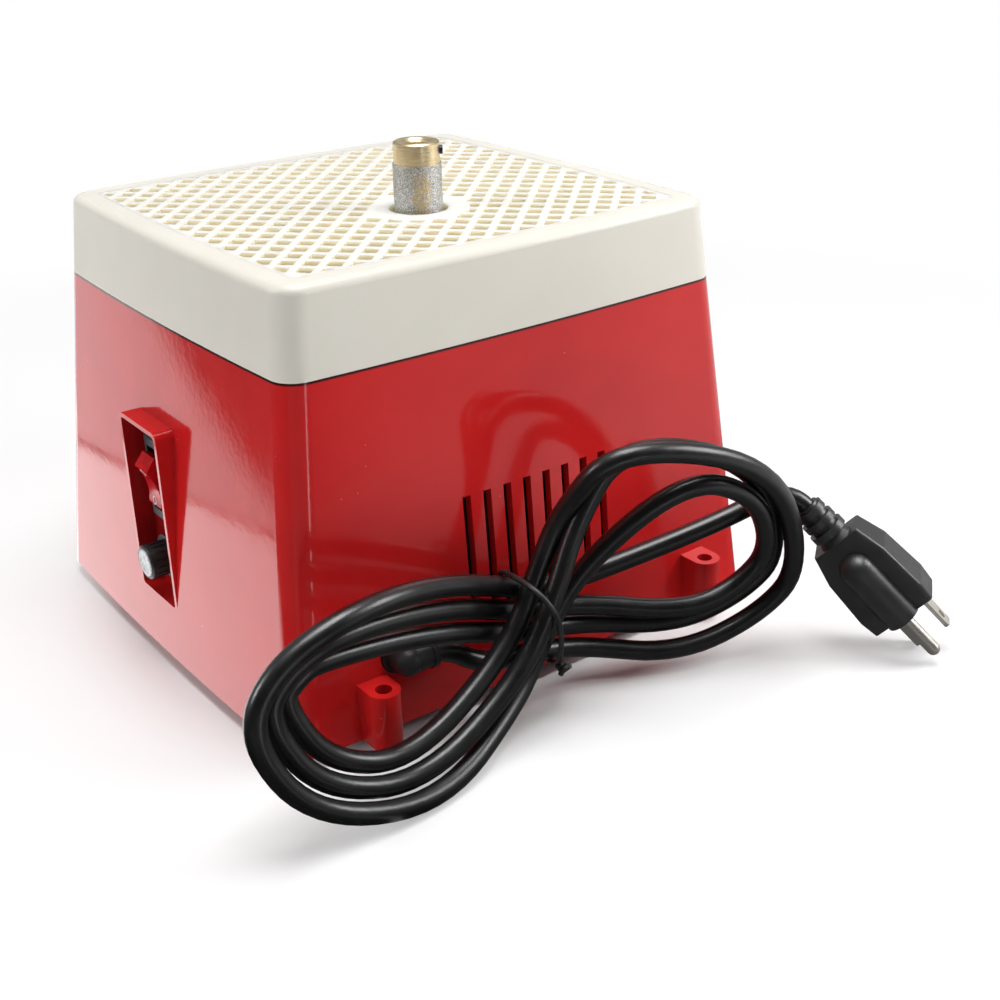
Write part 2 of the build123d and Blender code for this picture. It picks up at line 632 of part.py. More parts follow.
set_screw -= bar_x(SET_SCREW_HEX_R, COLLAR_R - 1.0, COLLAR_R + 3, 0, 0)
save(BODY * SPIN * side * set_screw, "set_screw")

# Rocker switch in the pocket, drawn switched off
PANEL = Pos(PANEL_X, SWITCH_Y, SWITCH_Z)
bezel = block(0, BEZEL_T, -BEZEL_W / 2, BEZEL_W / 2, -BEZEL_H / 2, BEZEL_H / 2)
bezel = chamfer(bezel.faces().sort_by(Axis.X)[-1].edges(), 0.6)
case_w = BEZEL_W / 2 - BEZEL_LAP_Y - FIT
case_h = BEZEL_H / 2 - BEZEL_LAP_Z - FIT
case = block(-CASE_DEPTH, 1, -case_w, case_w, -case_h, case_h)
well_w = ROCKER_W / 2 + 0.3
well_h = ROCKER_LEN / 2 + 0.9
well = block(-WELL_DEPTH, BEZEL_T + 3, -well_w, well_w, -well_h, well_h)
save(BODY * PANEL * (bezel + case - well), "switch_body")
blade = block(-CASE_DEPTH - TAB_LEN, -CASE_DEPTH, -TAB_W / 2, TAB_W / 2, -TAB_T / 2, TAB_T / 2)
blades = [PANEL * Pos(0, 0, -TAB_Z) * blade, PANEL * Pos(0, 0, TAB_Z) * blade]
save(BODY * group(blades), "switch_terminals")
rock = ROCKER_LEN / 2
with_dip = [
    Line((-6, -5), (2, -rock)),
    Line((2, -rock), (6.5, 3.5 - rock)),
    ThreePointArc((6.5, 3.5 - rock), (4.9, 0), (6.5, rock - 3.5)),
    Line((6.5, rock - 3.5), (2, rock)),
    Line((2, rock), (-6, 5)),
    Line((-6, 5), (-6, -5)),
]
rocker = extrude(Plane.XZ * make_face(with_dip), ROCKER_W / 2, both=True)
PIVOT_X = PANEL_X - 0.7
save(BODY * Pos(PIVOT_X, SWITCH_Y, SWITCH_Z) * Rot(0, ROCKER_TILT, 0) * rocker, "switch_rocker")

# Panel fuse holder: barrel, nut, terminals, pull-out carrier with its link, and the twist cap
FUSE = Pos(PANEL_X, SWITCH_Y, FUSE_Z)
barrel = bar_x(FUSE_BARREL_R, -FUSE_BARREL_LEN, 1, 0, 0)
barrel += bar_x(FUSE_BARREL_R + FUSE_FLANGE, 0, 2, 0, 0)
barrel -= bar_x(FUSE_BORE_R, 2 - FUSE_BARREL_LEN, 3, 0, 0)
save(BODY * FUSE * barrel, "fuse_holder")
hexagon = Plane(origin=(-PANEL_T, 0, 0), z_dir=(-1, 0, 0)) * RegularPolygon(FUSE_NUT_R, 6)
nut = extrude(hexagon, FUSE_NUT_T) - bar_x(FUSE_BARREL_R + FIT, -3 * FUSE_NUT_T, 0, 0, 0)
save(BODY * FUSE * nut, "fuse_nut")
tab_end = block(-FUSE_BARREL_LEN - 7, -FUSE_BARREL_LEN, -3, 3, -TAB_T / 2, TAB_T / 2)
tab_side = block(-27, -21, FUSE_BARREL_R - 0.2, 13, -TAB_T / 2, TAB_T / 2)
tab_side -= bar_x(FUSE_BARREL_R, -FUSE_BARREL_LEN, 0, 0, 0)
save(BODY * FUSE * group([tab_end, tab_side]), "fuse_terminals")
carrier = bar_x(FUSE_CARRIER_R, -FUSE_CARRIER_LEN, FUSE_CAP_AT, 0, 0)
carrier -= bar_x(FUSE_R + FIT, -FUSE_CARRIER_LEN - 1, -FUSE_SET, 0, 0)
save(BODY * FUSE * carrier, "fuse_carrier")
save(BODY * FUSE * bar_x(FUSE_R, -FUSE_SET - FUSE_LEN, -FUSE_SET, 0, 0), "fuse_link")
cap = bar_x(FUSE_CAP_R, FUSE_CAP_AT, FUSE_CAP_AT + FUSE_CAP_LEN, 0, 0)
cap = chamfer(cap.edges().sort_by(Axis.X)[-1], 0.6)
for i in range(FUSE_FLUTES):
    flute = Rot(360 / FUSE_FLUTES * i, 0, 0) * Pos(FUSE_CAP_AT + 3.2, FUSE_CAP_R + 0.25, 0)
    cap -= flute * Box(5.6, 1.1, 0.9)
cap -= Pos(FUSE_CAP_AT + FUSE_CAP_LEN, 0, 0) * Box(1.6, 7.5, 1.2)
save(BODY * FUSE * cap, "fuse_cap")

# Cord entry: a right-angle bushing in the back wall, its barrel pointing to -X
CORD_OUT = Vector(GLAND_X - GLAND_GRIP, gland_seat + GLAND_OUT + BODY_Y, GLAND_Z)
GLAND = Pos(GLAND_X, gland_seat, GLAND_Z)
bush = bar_y(GLAND_FLANGE_R, 0, GLAND_FLANGE_T, 0, 0) + bar_y(GLAND_NECK_R, -GLAND_NECK, 1, 0, 0)
bush += bar_y(GLAND_ELBOW_R, GLAND_FLANGE_T - 1, GLAND_OUT, 0, 0)
bush += Pos(0, GLAND_OUT, 0) * Sphere(GLAND_ELBOW_R)
bush += bar_x(GLAND_BARREL_R, -GLAND_REACH, 0, GLAND_OUT, 0)
bush += bar_x(GLAND_LIP_R, -GLAND_REACH, GLAND_LIP_W - GLAND_REACH, GLAND_OUT, 0)
bush -= bar_x(CORD_R + FIT, -2 * GLAND_REACH, -GLAND_GRIP, GLAND_OUT, 0)
save(BODY * GLAND * bush, "strain_relief")


def bent(points, radius):
    """Round tube on straight runs whose corners are arcs as large as the shorter run allows."""
    radii = []
    runs_n = len(points) - 1
    for i in range(1, runs_n):
        before = points[i] - points[i - 1]
        after = points[i + 1] - points[i]
        share_before = 0.8 if i == 1 and runs_n > 2 else 0.45
        share_after = 0.8 if i == runs_n - 1 and runs_n > 2 else 0.45
        room = min(share_before * before.length, share_after * after.length)
        radii.append(room / tan(radians(before.get_angle(after)) / 2))
    path = FilletPolyline(*points, radius=radii)
    start = Plane(origin=points[0], z_dir=points[1] - points[0])
    made = sweep(start * Circle(radius), path=path)
    print("bend radii", [round(r, 1) for r in radii], "length", round(path.length, 1), end=" ")
    print("volume ratio", round(made.volume / (pi * radius ** 2 * path.length), 4))
    return made


# Internal wires
INNER = gland_seat - GLAND_NECK
TAB_X = PANEL_X - FUSE_BARREL_LEN - 7
runs = {
    "live_wire": [
        (GLAND_X - WIRE_GAP, INNER, GLAND_Z),
        (GLAND_X - WIRE_GAP, INNER - 22, GLAND_Z),
        (GLAND_X - 8, INNER - 58, (GLAND_Z + FUSE_Z) / 2),
        (TAB_X - 13, SWITCH_Y + 6, FUSE_Z),
        (TAB_X - 8, SWITCH_Y, FUSE_Z),
        (TAB_X, SWITCH_Y, FUSE_Z),
    ],
    "neutral_wire": [
        (GLAND_X + WIRE_GAP, INNER, GLAND_Z),
        (GLAND_X + WIRE_GAP, INNER - 24, GLAND_Z),
        (BOARD_X + 19, INNER - 70, Z_BOARD_TOP + 8),
        (BOARD_X + 18, BLOCK_Y + 24, Z_BOARD_TOP + 5),
        (BOARD_X + 18, BLOCK_Y + 4.5, Z_BOARD_TOP + 5),
    ],
    "fuse_wire": [
        (PANEL_X - 24, SWITCH_Y + 13, FUSE_Z),
        (PANEL_X - 24, SWITCH_Y + 23, FUSE_Z),
        (PANEL_X - 33, SWITCH_Y + 24, FUSE_Z + 12),
        (PANEL_X - 38, SWITCH_Y + 12, SWITCH_Z - 10),
        (PANEL_X - 36, SWITCH_Y, SWITCH_Z - TAB_Z),
        (PANEL_X - 24, SWITCH_Y, SWITCH_Z - TAB_Z),
    ],
    "switch_wire": [
        (PANEL_X - 24, SWITCH_Y, SWITCH_Z + TAB_Z),
        (PANEL_X - 38, SWITCH_Y, SWITCH_Z + TAB_Z),
        (PANEL_X - 43, SWITCH_Y - 18, SWITCH_Z - 12),
        (BOARD_X + 2, BLOCK_Y + 22, Z_BOARD_TOP + 16),
        (BOARD_X - 3, BLOCK_Y + 14, Z_BOARD_TOP + 4),
        (BOARD_X - 3, BLOCK_Y + 4.5, Z_BOARD_TOP + 4),
    ],
    "motor_cable": [
        (BOARD_X - 9, BLOCK_Y + 4.5, Z_BOARD_TOP + 4),
        (BOARD_X - 9, BLOCK_Y + 13, Z_BOARD_TOP + 4),
        (BOARD_X - 24, SPIN_Y - CAN_R - 16, Z_REAR + 4),
        (0, SPIN_Y - CAN_R - 15, Z_REAR + 4),
        (0, SPIN_Y - CAN_R - 5, Z_REAR + 4),
    ],
}
for name, run in runs.items():
    save(bent([Vector(x, y + BODY_Y, z) for x, y, z in run], WIRE_R), name)

# Hank: each turn goes round the right lobe, over the front of the tie, and round the left lobe
RIGHT = {
    "side": -1,
    "reach": 95.83,
    "step": -8.24,
    "top": 93.96,
    "top_step": -9.3,
    "low": 9.2,
    "low_step": 8.34,
    "mid": 36.47,
    "deep_low": 1.477,
    "deep_top": 1.219,
    "knee_at_low": 0.439,
    "knee_low": 0.536,
    "knee_at_top": 0.391,
    "knee_top": 0.524,
    "foot": 99.71,
    "foot_step": -1.31,
    "lean": -0.183,
    "swing": 0.27,
}
LEFT = {
    "side": 1,
    "reach": 95.23,
    "step": 7.47,
    "top": 53.01,
    "top_step": 8.01,
    "low": 15.06,
    "low_step": -5.63,
    "mid": 43.99,
    "deep_low": 1.36,
    "deep_top": 1.65,
    "knee_at_low": 0.289,
    "knee_low": 0.425,
    "knee_at_top": 0.471,
    "knee_top": 0.417,
    "foot": 116.82,
    "foot_step": 4.64,
    "lean": 0.168,
    "swing": 0.0,
}


def lobe(turn, form, z_in, z_out, y_in, y_out):
    """Stations of one lobe from the tie round its low side, far end and top, back towards the tie."""
    reach = form["reach"] + turn * form["step"]
    top = form["top"] + turn * form["top_step"]
    low = form["low"] + turn * form["low_step"]
    foot = form["foot"] + turn * form["foot_step"]
    mid = form["mid"]
    flat_low = reach - form["deep_low"] * (mid - low)
    flat_top = reach - form["deep_top"] * (top - mid)
    marks = [(0.0, z_in, y_in, 1.0)]
    marks.append((form["knee_at_low"] * flat_low, low + form["knee_low"] * (z_in - low), y_in, HOLD))
    for angle in (-90, -45, 0, 45, 90):
        rise = mid - low if angle < 0 else top - mid
        deep = form["deep_low"] if angle < 0 else form["deep_top"]
        x = reach - deep * rise * (1 - cos(radians(angle)))
        marks.append((x, mid + rise * sin(radians(angle)), y_in, 0.0))
    marks.append((form["knee_at_top"] * flat_top, top - form["knee_top"] * (top - z_out), y_out, HOLD))
    found = []
    for x, z, layer, share in marks:
        y = share * layer + (1 - share) * (foot - form["lean"] * z + form["swing"] * x)
        found.append(Vector(TIE_X + form["side"] * x, y, z))
    return found


stations = []
for k, (front_y, front_z) in enumerate(FRONT):
    stations += lobe(k, RIGHT, BACK_Z + BACK_STEP * k, front_z, LAY_BACK_Y, front_y)
    stations += lobe(k, LEFT, front_z, BACK_Z + BACK_STEP * (k + 1), front_y, LAY_BACK_Y)
stations.append(Vector(TIE_X, LAY_BACK_Y, BACK_Z + BACK_STEP * len(FRONT)))
aims = []
for a, b, c in zip(stations, stations[1:], stations[2:]):
    aims.append(((b - a) * (1 / (b - a).length ** 2) + (c - b) * (1 / (c - b).length ** 2)).normalized())
first = (stations[1] - stations[0]).normalized()
last = (stations[-1] - stations[-2]).normalized()
begin = first * (2 * first.dot(aims[0])) - aims[0]
end = last * (2 * last.dot(aims[-1])) - aims[-1]
aims.insert(0, Vector(begin.X, begin.Y, 0.6 * begin.Z).normalized())
aims.append(Vector(end.X, end.Y, 0.6 * end.Z).normalized())
HANK_IN = stations[0] - aims[0] * (2 * CORD_R)
HANK_OUT = stations[-1] + aims[-1] * (2 * CORD_R)
turns = [Edge.make_line(HANK_IN, stations[0])]
for p0, p1, t0, t1 in zip(stations, stations[1:], aims, aims[1:]):
    gap = p1 - p0
    both = t0 + t1
    square_term = 2 * (1 - t0.dot(t1))
    line_term = 2 * gap.dot(both)
    size = gap.dot(gap)
    span = (sqrt(line_term ** 2 + 4 * square_term * size) - line_term) / (2 * square_term)
    join = (p0 + p1 + (t0 - t1) * span) * 0.5
    turns.append(Edge.make_tangent_arc(p0, t0, join))
    turns.append(Edge.make_tangent_arc(join, turns[-1] % 1, p1))
turns.append(Edge.make_line(stations[-1], HANK_OUT))
wound = Wire(turns)
hank = sweep(Plane(origin=HANK_IN, z_dir=aims[0]) * Circle(CORD_R), path=wound)
marks = []
along = 0.0
for edge in turns:
    count = max(2, int(edge.length / 1.5))
    for i in range(count):
        marks.append((along + edge.length * i / count, edge @ (i / count)))
    along += edge.length
closest = 1e9
for i, (s0, a) in enumerate(marks):
    for s1, b in marks[i + 1:]:
        if s1 - s0 > 40 and abs(a.X - b.X) < closest and abs(a.Z - b.Z) < closest:
            closest = min(closest, (a - b).length)
print("hank length", round(along, 1), "least gap", round(closest - 2 * CORD_R, 3), end=" ")
print("volume ratio", round(hank.volume / (pi * CORD_R ** 2 * along), 4), "valid", hank.is_valid)
save(hank, "cord_hank")

# Lead from the bushing to the hank
lead = [CORD_OUT, CORD_OUT - Vector(9, 0, 0), HANK_IN - aims[0] * 10, HANK_IN]
save(bent(lead, CORD_R), "cord_lead")

# Plug frame: axis, ridge side and blade side
RIDGE = (PLUG_RIDGE - PLUG_AIM * PLUG_RIDGE.dot(PLUG_AIM)).normalized()
BLADE = PLUG_AIM.cross(RIDGE)
FACE = Plane(origin=PLUG_FACE, x_dir=BLADE, z_dir=PLUG_AIM)
up = 1 if FACE.y_dir.dot(RIDGE) > 0 else -1

# Tail from the hank to the plug
RELIEF_AT = PLUG_FACE - PLUG_AIM * (PLUG_LEN + RELIEF_LEN)
tail = [
    HANK_OUT,
    HANK_OUT + aims[-1] * 9,
    Vector(-18.8, 100.0, 41.4),
    Vector(-59.2, 112.0, 50.4),
    RELIEF_AT - PLUG_AIM * 10,
    RELIEF_AT,
]
save(bent(tail, CORD_R), "cord_tail")

# Wire tie round the crossing, in a plane turned to lie square across the strands
tie_z = BACK_Z + BACK_STEP * len(FRONT) / 2 + TIE_RISE
across = Plane(
    origin=(TIE_X, 0, tie_z),
    x_dir=(0, 1, 0),
    z_dir=(cos(radians(TIE_TURN)), 0, -sin(radians(TIE_TURN))),
)
crossings = []
for (_, a), (_, b) in zip(marks, marks[1:]):
    before = across.to_local_coords(a)
    after = across.to_local_coords(b)
    if before.Z * after.Z <= 0 and abs(before.Y) < TIE_REACH:
        mid = before + (after - before) * (before.Z / (before.Z - after.Z))
        crossings.append((mid.X, mid.Y))


def half_hull(points):
    """One side of the convex outline of points in order, without nearly straight corners."""
    kept = []
    for x, y in points:
        while len(kept) > 1:
            (x0, y0), (x1, y1) = kept[-2:]
            if (x1 - x0) * (y - y0) - (y1 - y0) * (x - x0) > 1:
                break
            kept.pop()
        kept.append((x, y))
    return kept[:-1]


crossings.sort()
hull = half_hull(crossings) + half_hull(crossings[::-1])
loop = offset(make_face(Polyline(*hull, close=True)), CORD_R + TIE_SLACK + TIE_WIRE_R)
loop_wire = (across * loop).faces()[0].outer_wire()
tie = sweep(Plane(origin=loop_wire @ 0, z_dir=loop_wire % 0) * Circle(TIE_WIRE_R), path=loop_wire)
print("tie crossings", len(crossings), "valid", tie.is_valid, "solids", len(tie.solids()))
save(tie, "cord_tie")

# Moulded plug: ribbed relief, body with a ridge for the earth pin, two blades and the pin
profile = [(0, 0), (4.6, 0)]
for i in range(RELIEF_RIBS):
    low_z = 1.0 + RELIEF_PITCH * i
    high_z = low_z + RELIEF_RIB_W
    ring_r = 5.6 + 0.5 * i
    neck_r = 4.7 + 0.2 * i
    profile += [(neck_r, low_z), (ring_r, low_z), (ring_r, high_z), (neck_r + 0.1, high_z)]
profile += [(6.4, RELIEF_LEN), (0, RELIEF_LEN)]
relief = revolve(Plane.XZ * make_face(Polyline(*profile, close=True)), Axis.Z)
RELIEF = Plane(origin=RELIEF_AT, x_dir=BLADE, z_dir=PLUG_AIM)
save(RELIEF * relief, "plug_relief")
sections = []
backs = (PLUG_LEN, PLUG_LEN - PLUG_SHOULDER, PLUG_TAPER, 0.0)
for back, size in zip(backs, (PLUG_BACK, PLUG_WAIST, PLUG_CHEEK, PLUG_FRONT)):
    sections.append(Pos(0, -PLUG_DOWN * up, -back) * RectangleRounded(*size, PLUG_ROUND))
body = loft(sections, ruled=True)
ridge_at = Pos(0, PIN_UP * up, RIDGE_START - PLUG_LEN)
ridge = ridge_at * Cylinder(RIDGE_R, PLUG_LEN - RIDGE_START, align=ON_END)
ridge += ridge_at * Sphere(RIDGE_R)
save(FACE * (body + ridge), "plug_body")
prongs = []
for sx in (1, -1):
    at = Pos(sx * BLADE_GAP / 2, -BLADE_DOWN * up, 0)
    prong = at * Pos(0, 0, BLADE_LEN / 2) * Box(BLADE_T, BLADE_W, BLADE_LEN)
    prong = chamfer(prong.faces().sort_by(Axis.Z)[-1].edges().filter_by(Axis.X), 0.9)
    prong -= at * Pos(0, 0, BLADE_LEN - BLADE_HOLE_IN) * Rot(0, 90, 0) * Cylinder(BLADE_HOLE_R, 4 * BLADE_T)
    prongs.append(prong)
save(FACE * group(prongs), "plug_blades")
pin = rod(PIN_R, 0, PIN_LEN - PIN_R) + Pos(0, 0, PIN_LEN - PIN_R) * Sphere(PIN_R)
save(FACE * Pos(0, PIN_UP * up, 0) * pin, "plug_ground_pin")
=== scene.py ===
"""Looks of a small bench grinder for stained glass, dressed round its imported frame. Metres, +Z up."""
import math

import bmesh
import bpy
from mathutils import Matrix, Quaternion, Vector, noise


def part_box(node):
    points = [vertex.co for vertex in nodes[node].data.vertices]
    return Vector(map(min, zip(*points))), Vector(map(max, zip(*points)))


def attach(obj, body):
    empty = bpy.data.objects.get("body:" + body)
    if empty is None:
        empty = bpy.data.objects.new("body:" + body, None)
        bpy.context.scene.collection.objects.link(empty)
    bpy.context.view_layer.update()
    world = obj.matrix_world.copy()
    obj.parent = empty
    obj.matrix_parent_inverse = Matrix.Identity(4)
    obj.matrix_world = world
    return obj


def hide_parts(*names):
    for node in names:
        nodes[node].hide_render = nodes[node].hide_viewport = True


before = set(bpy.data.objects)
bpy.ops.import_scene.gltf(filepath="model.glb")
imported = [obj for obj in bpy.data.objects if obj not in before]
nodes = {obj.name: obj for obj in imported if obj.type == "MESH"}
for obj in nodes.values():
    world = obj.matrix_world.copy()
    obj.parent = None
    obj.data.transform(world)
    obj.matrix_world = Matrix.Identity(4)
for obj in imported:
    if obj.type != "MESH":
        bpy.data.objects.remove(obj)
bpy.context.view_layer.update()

# Camera: the photograph's view, from above the corner between the switch side and the back wall.
# It was fitted to the housing's edges and stands about half a metre away.
MM = 0.001
EYE = Vector((268.0, 421.6, 271.4)) * MM
EYE_AZIMUTH = math.radians(36.76)
EYE_ELEVATION = math.radians(25.42)
EYE_ROLL = math.radians(-1.16)
EYE_LENS = 50.96
EYE_SENSOR = 36.0
eye_back = Vector((
    math.sin(EYE_AZIMUTH) * math.cos(EYE_ELEVATION),
    math.cos(EYE_AZIMUTH) * math.cos(EYE_ELEVATION),
    math.sin(EYE_ELEVATION),
))
eye_data = bpy.data.cameras.new("eye")
eye_data.lens = EYE_LENS
eye_data.sensor_width = EYE_SENSOR
eye = bpy.data.objects.new("eye", eye_data)
eye.location = EYE
eye.rotation_mode = "QUATERNION"
eye.rotation_quaternion = eye_back.to_track_quat("Z", "Y") @ Quaternion((0, 0, 1), EYE_ROLL)
bpy.context.scene.collection.objects.link(eye)
bpy.context.scene.camera = eye

# Housing: one drafted shell of red plastic with a switch pocket, vents and two drilled lugs.
# It is moulded in a polished tool, so it mirrors the table, with a slight orange peel and a little dust.
# Shade is painted into its colour: a darker red inside the switch pocket, and a dark line along the joint
# under the worktop.
RED = (0.60, 0.016, 0.016)
RED_DEEP = (0.54, 0.012, 0.013)
DUST = (0.70, 0.22, 0.22)
DUST_APART = 0.011
DUST_SPOT = (0.016, 0.022)
DUST_COVER = 0.8
PEEL = 0.0024
PEEL_DEPTH = 0.000022
SEAM_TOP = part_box("housing")[1].z
SEAM_LINE = 0.0010
SEAM_FADE = 0.0004
SEAM_UPRIGHT = (0.3, 0.6)
SEAM_SHADE = (0.035, 0.004, 0.004)
POCKET_MID = Vector((0.0960, -0.0091, 0.0575))
POCKET_HALF = Vector((0.0040, 0.0134, 0.0330))
POCKET_FADE = 0.9
POCKET_SHADE_RED = (0.27, 0.007, 0.008)
NOISE_LOW = 0.3
NOISE_HIGH = 0.7


def give(look, socket, value):
    """Sets a socket of a finish to a value or a colour, or leads another node's output into it."""
    if isinstance(value, bpy.types.NodeSocket):
        look.node_tree.links.new(value, socket)
    elif socket.type == "RGBA":
        socket.default_value = (*value, 1.0)
    else:
        socket.default_value = value


def feed(look, name, value):
    """Gives the shader of a finish a value of its own, or a node's output."""
    give(look, look.node_tree.nodes["Principled BSDF"].inputs[name], value)


def finish(name, colour, rough, metal=0.0):
    """New finish with its own even colour and gloss."""
    made = bpy.data.materials.new(name)
    made.use_nodes = True
    feed(made, "Base Color", colour)
    feed(made, "Roughness", rough)
    feed(made, "Metallic", metal)
    return made


def add(look, kind, **sockets):
    """New node of a finish. A socket takes a value or another node's output."""
    made = look.node_tree.nodes.new("ShaderNode" + kind)
    for name, value in sockets.items():
        give(look, made.inputs[name.replace("_", " ")], value)
    return made


def place(look, stretch=(1, 1, 1)):
    """The piece's own coordinates, stretched along its axes."""
    at = add(look, "TexCoord").outputs["Object"]
    return add(look, "Mapping", Vector=at, Scale=stretch).outputs[0]


def spots(look, size, stretch=(1, 1, 1), detail=2.0):
    """Noise of a finish, from 0 to 1, with blotches of about that size in metres."""
    return add(look, "TexNoise", Vector=place(look, stretch), Scale=1 / size, Detail=detail).outputs[0]


def cells(look, size):
    """Node of grains of about that size in metres, with their colours and the distance from a middle."""
    return add(look, "TexVoronoi", Vector=place(look), Scale=1 / size)


def shades(look, amount, *stops):
    """Colours of a finish along a 0 to 1 amount, as pairs of place and colour."""
    ramp = add(look, "ValToRGB", Fac=amount)
    for _ in stops[2:]:
        ramp.color_ramp.elements.new(0.5)
    for element, (at, colour) in zip(ramp.color_ramp.elements, stops):
        element.position = at
        element.color = (*colour, 1.0)
    return ramp.outputs[0]


def blend(look, amount, one, other):
    """Mixes two colours of a finish by an amount."""
    return add(look, "MixRGB", Fac=amount, Color1=one, Color2=other).outputs[0]


def levels(look, amount, low, high, to_low, to_high):
    """Carries an amount between low and high over to another range."""
    made = add(
        look, "MapRange", Value=amount, From_Min=low, From_Max=high, To_Min=to_low, To_Max=to_high
    )
    return made.outputs[0]


def maths(look, kind, one, other=0.0):
    """Arithmetic of two amounts in a finish."""
    made = add(look, "Math")
    made.operation = kind
    give(look, made.inputs[0], one)
    give(look, made.inputs[1], other)
    return made.outputs[0]


def relief(look, amount, depth):
    """Raises the surface of a finish by an amount."""
    feed(look, "Normal", add(look, "Bump", Height=amount, Distance=depth, Strength=1.0).outputs[0])


def uneven(look, size, low, high):
    """Lets the gloss of a finish wander between two roughnesses."""
    feed(look, "Roughness", levels(look, spots(look, size), NOISE_LOW, NOISE_HIGH, low, high))


def mottled(look, size, one, other):
    """Lets the colour of a finish wander between two shades."""
    feed(look, "Base Color", shades(look, spots(look, size), (NOISE_LOW, one), (NOISE_HIGH, other)))


def dress(look, *names):
    """Gives CAD nodes their finish."""
    for name in names:
        mesh = nodes[name].data
        mesh.materials.clear()
        mesh.materials.append(look)


red_gloss = finish("red_gloss", RED, 0.08)
red_tint = shades(red_gloss, spots(red_gloss, 0.03), (NOISE_LOW, RED_DEEP), (NOISE_HIGH, RED))
speck = levels(red_gloss, cells(red_gloss, DUST_APART).outputs["Distance"], *DUST_SPOT, DUST_COVER, 0.0)
red_tint = blend(red_gloss, speck, red_tint, DUST)
where = add(red_gloss, "SeparateXYZ", Vector=place(red_gloss))
# Painted shade: a dark line along the top of the outer wall, where the worktop's joint casts shadow.
seam_low = SEAM_TOP - SEAM_LINE
seam_shade = levels(red_gloss, where.outputs["Z"], seam_low, seam_low + SEAM_FADE, 0.0, 1.0)
upward = add(red_gloss, "SeparateXYZ", Vector=add(red_gloss, "TexCoord").outputs["Normal"])
upright = levels(red_gloss, upward.outputs["Z"], *SEAM_UPRIGHT, 1.0, 0.0)
seam_shade = maths(red_gloss, "MULTIPLY", seam_shade, upright)
red_tint = blend(red_gloss, seam_shade, red_tint, SEAM_SHADE)
# Painted shade: inside a soft-edged box round the switch pocket, the red turns to the darker
# POCKET_SHADE_RED.
pocket_shade = 1.0
for axis, middle, half in zip("XYZ", POCKET_MID, POCKET_HALF):
    aside = maths(red_gloss, "ABSOLUTE", maths(red_gloss, "SUBTRACT", where.outputs[axis], middle))
    inside = levels(red_gloss, aside, POCKET_FADE * half, half, 1.0, 0.0)
    pocket_shade = maths(red_gloss, "MULTIPLY", pocket_shade, inside)
feed(red_gloss, "Base Color", blend(red_gloss, pocket_shade, red_tint, POCKET_SHADE_RED))
uneven(red_gloss, 0.012, 0.07, 0.13)
relief(red_gloss, spots(red_gloss, PEEL, detail=1.0), PEEL_DEPTH)
dress(red_gloss, "housing", "rear_lugs")

# Underside: a black moulded plate closes the housing, held by four screws, on four rubber feet.
# The inner deck that carries the motor is the same black plastic with a fine spark texture.
plate_black = finish("plate_black", (0.03, 0.03, 0.03), 0.5)
mottled(plate_black, 0.02, (0.024,) * 3, (0.036,) * 3)
uneven(plate_black, 0.004, 0.42, 0.6)
relief(plate_black, spots(plate_black, 0.0006, detail=3.0), 0.00006)
dress(plate_black, "base_plate", "motor_deck")
foot_rubber = finish("foot_rubber", (0.018, 0.018, 0.018), 0.7)
mottled(foot_rubber, 0.006, (0.013,) * 3, (0.024,) * 3)
uneven(foot_rubber, 0.003, 0.6, 0.8)
relief(foot_rubber, spots(foot_rubber, 0.0005, detail=3.0), 0.00005)
dress(foot_rubber, "rubber_feet", "shaft_seal")
zinc = finish("zinc_plate", (0.58, 0.58, 0.56), 0.38, 1.0)
mottled(zinc, 0.003, (0.50, 0.50, 0.47), (0.66, 0.66, 0.65))
uneven(zinc, 0.002, 0.26, 0.46)
relief(zinc, spots(zinc, 0.0008), 0.00002)
dress(zinc, "base_screws", "motor_screws", "deck_screws")

# Motor, fixed half: cast end covers, painted steel can, ferrite magnets, brush gear and bearings.
# Everything hangs from the deck on four screws and only shows when the part is taken apart.
cast = finish("cast_aluminium", (0.55, 0.56, 0.57), 0.5, 1.0)
mottled(cast, 0.006, (0.48, 0.49, 0.50), (0.62, 0.63, 0.64))
uneven(cast, 0.003, 0.42, 0.60)
relief(cast, spots(cast, 0.0012, detail=3.0), 0.00008)
dress(cast, "motor_bell", "rear_cap")
can_paint = finish("can_paint", (0.10, 0.11, 0.12), 0.4)
mottled(can_paint, 0.008, (0.085, 0.093, 0.10), (0.12, 0.13, 0.14))
uneven(can_paint, 0.004, 0.32, 0.48)
relief(can_paint, spots(can_paint, 0.0015), 0.00003)
dress(can_paint, "motor_can")
ferrite = finish("ferrite", (0.05, 0.05, 0.055), 0.6)
mottled(ferrite, 0.002, (0.038, 0.038, 0.042), (0.066, 0.066, 0.07))
uneven(ferrite, 0.002, 0.5, 0.7)
relief(ferrite, spots(ferrite, 0.0008, detail=3.0), 0.00005)
dress(ferrite, "field_magnets", "carbon_brushes")
black = finish("black_moulding", (0.018, 0.018, 0.019), 0.42)
mottled(black, 0.01, (0.014,) * 3, (0.022, 0.022, 0.023))
uneven(black, 0.004, 0.36, 0.52)
relief(black, spots(black, 0.0004, detail=3.0), 0.00003)
feed(black, "Specular IOR Level", 0.3)
dress(black, "brush_holders", "board_blocks")


def lined(look, lines, dark, pale, low, high, depth, edges=(NOISE_LOW, NOISE_HIGH)):
    """Gives a finish fine lines, in which its colour, its gloss and its height vary together."""
    feed(look, "Base Color", shades(look, lines, (edges[0], dark), (edges[1], pale)))
    feed(look, "Roughness", levels(look, lines, NOISE_LOW, NOISE_HIGH, low, high))
    relief(look, lines, depth)


steel = finish("ground_steel", (0.60, 0.60, 0.62), 0.28, 1.0)
ground = spots(steel, 0.004, (1, 1, 40))
lined(steel, ground, (0.52, 0.52, 0.54), (0.68, 0.68, 0.70), 0.18, 0.36, 0.00002)
dress(steel, "ball_bearings")

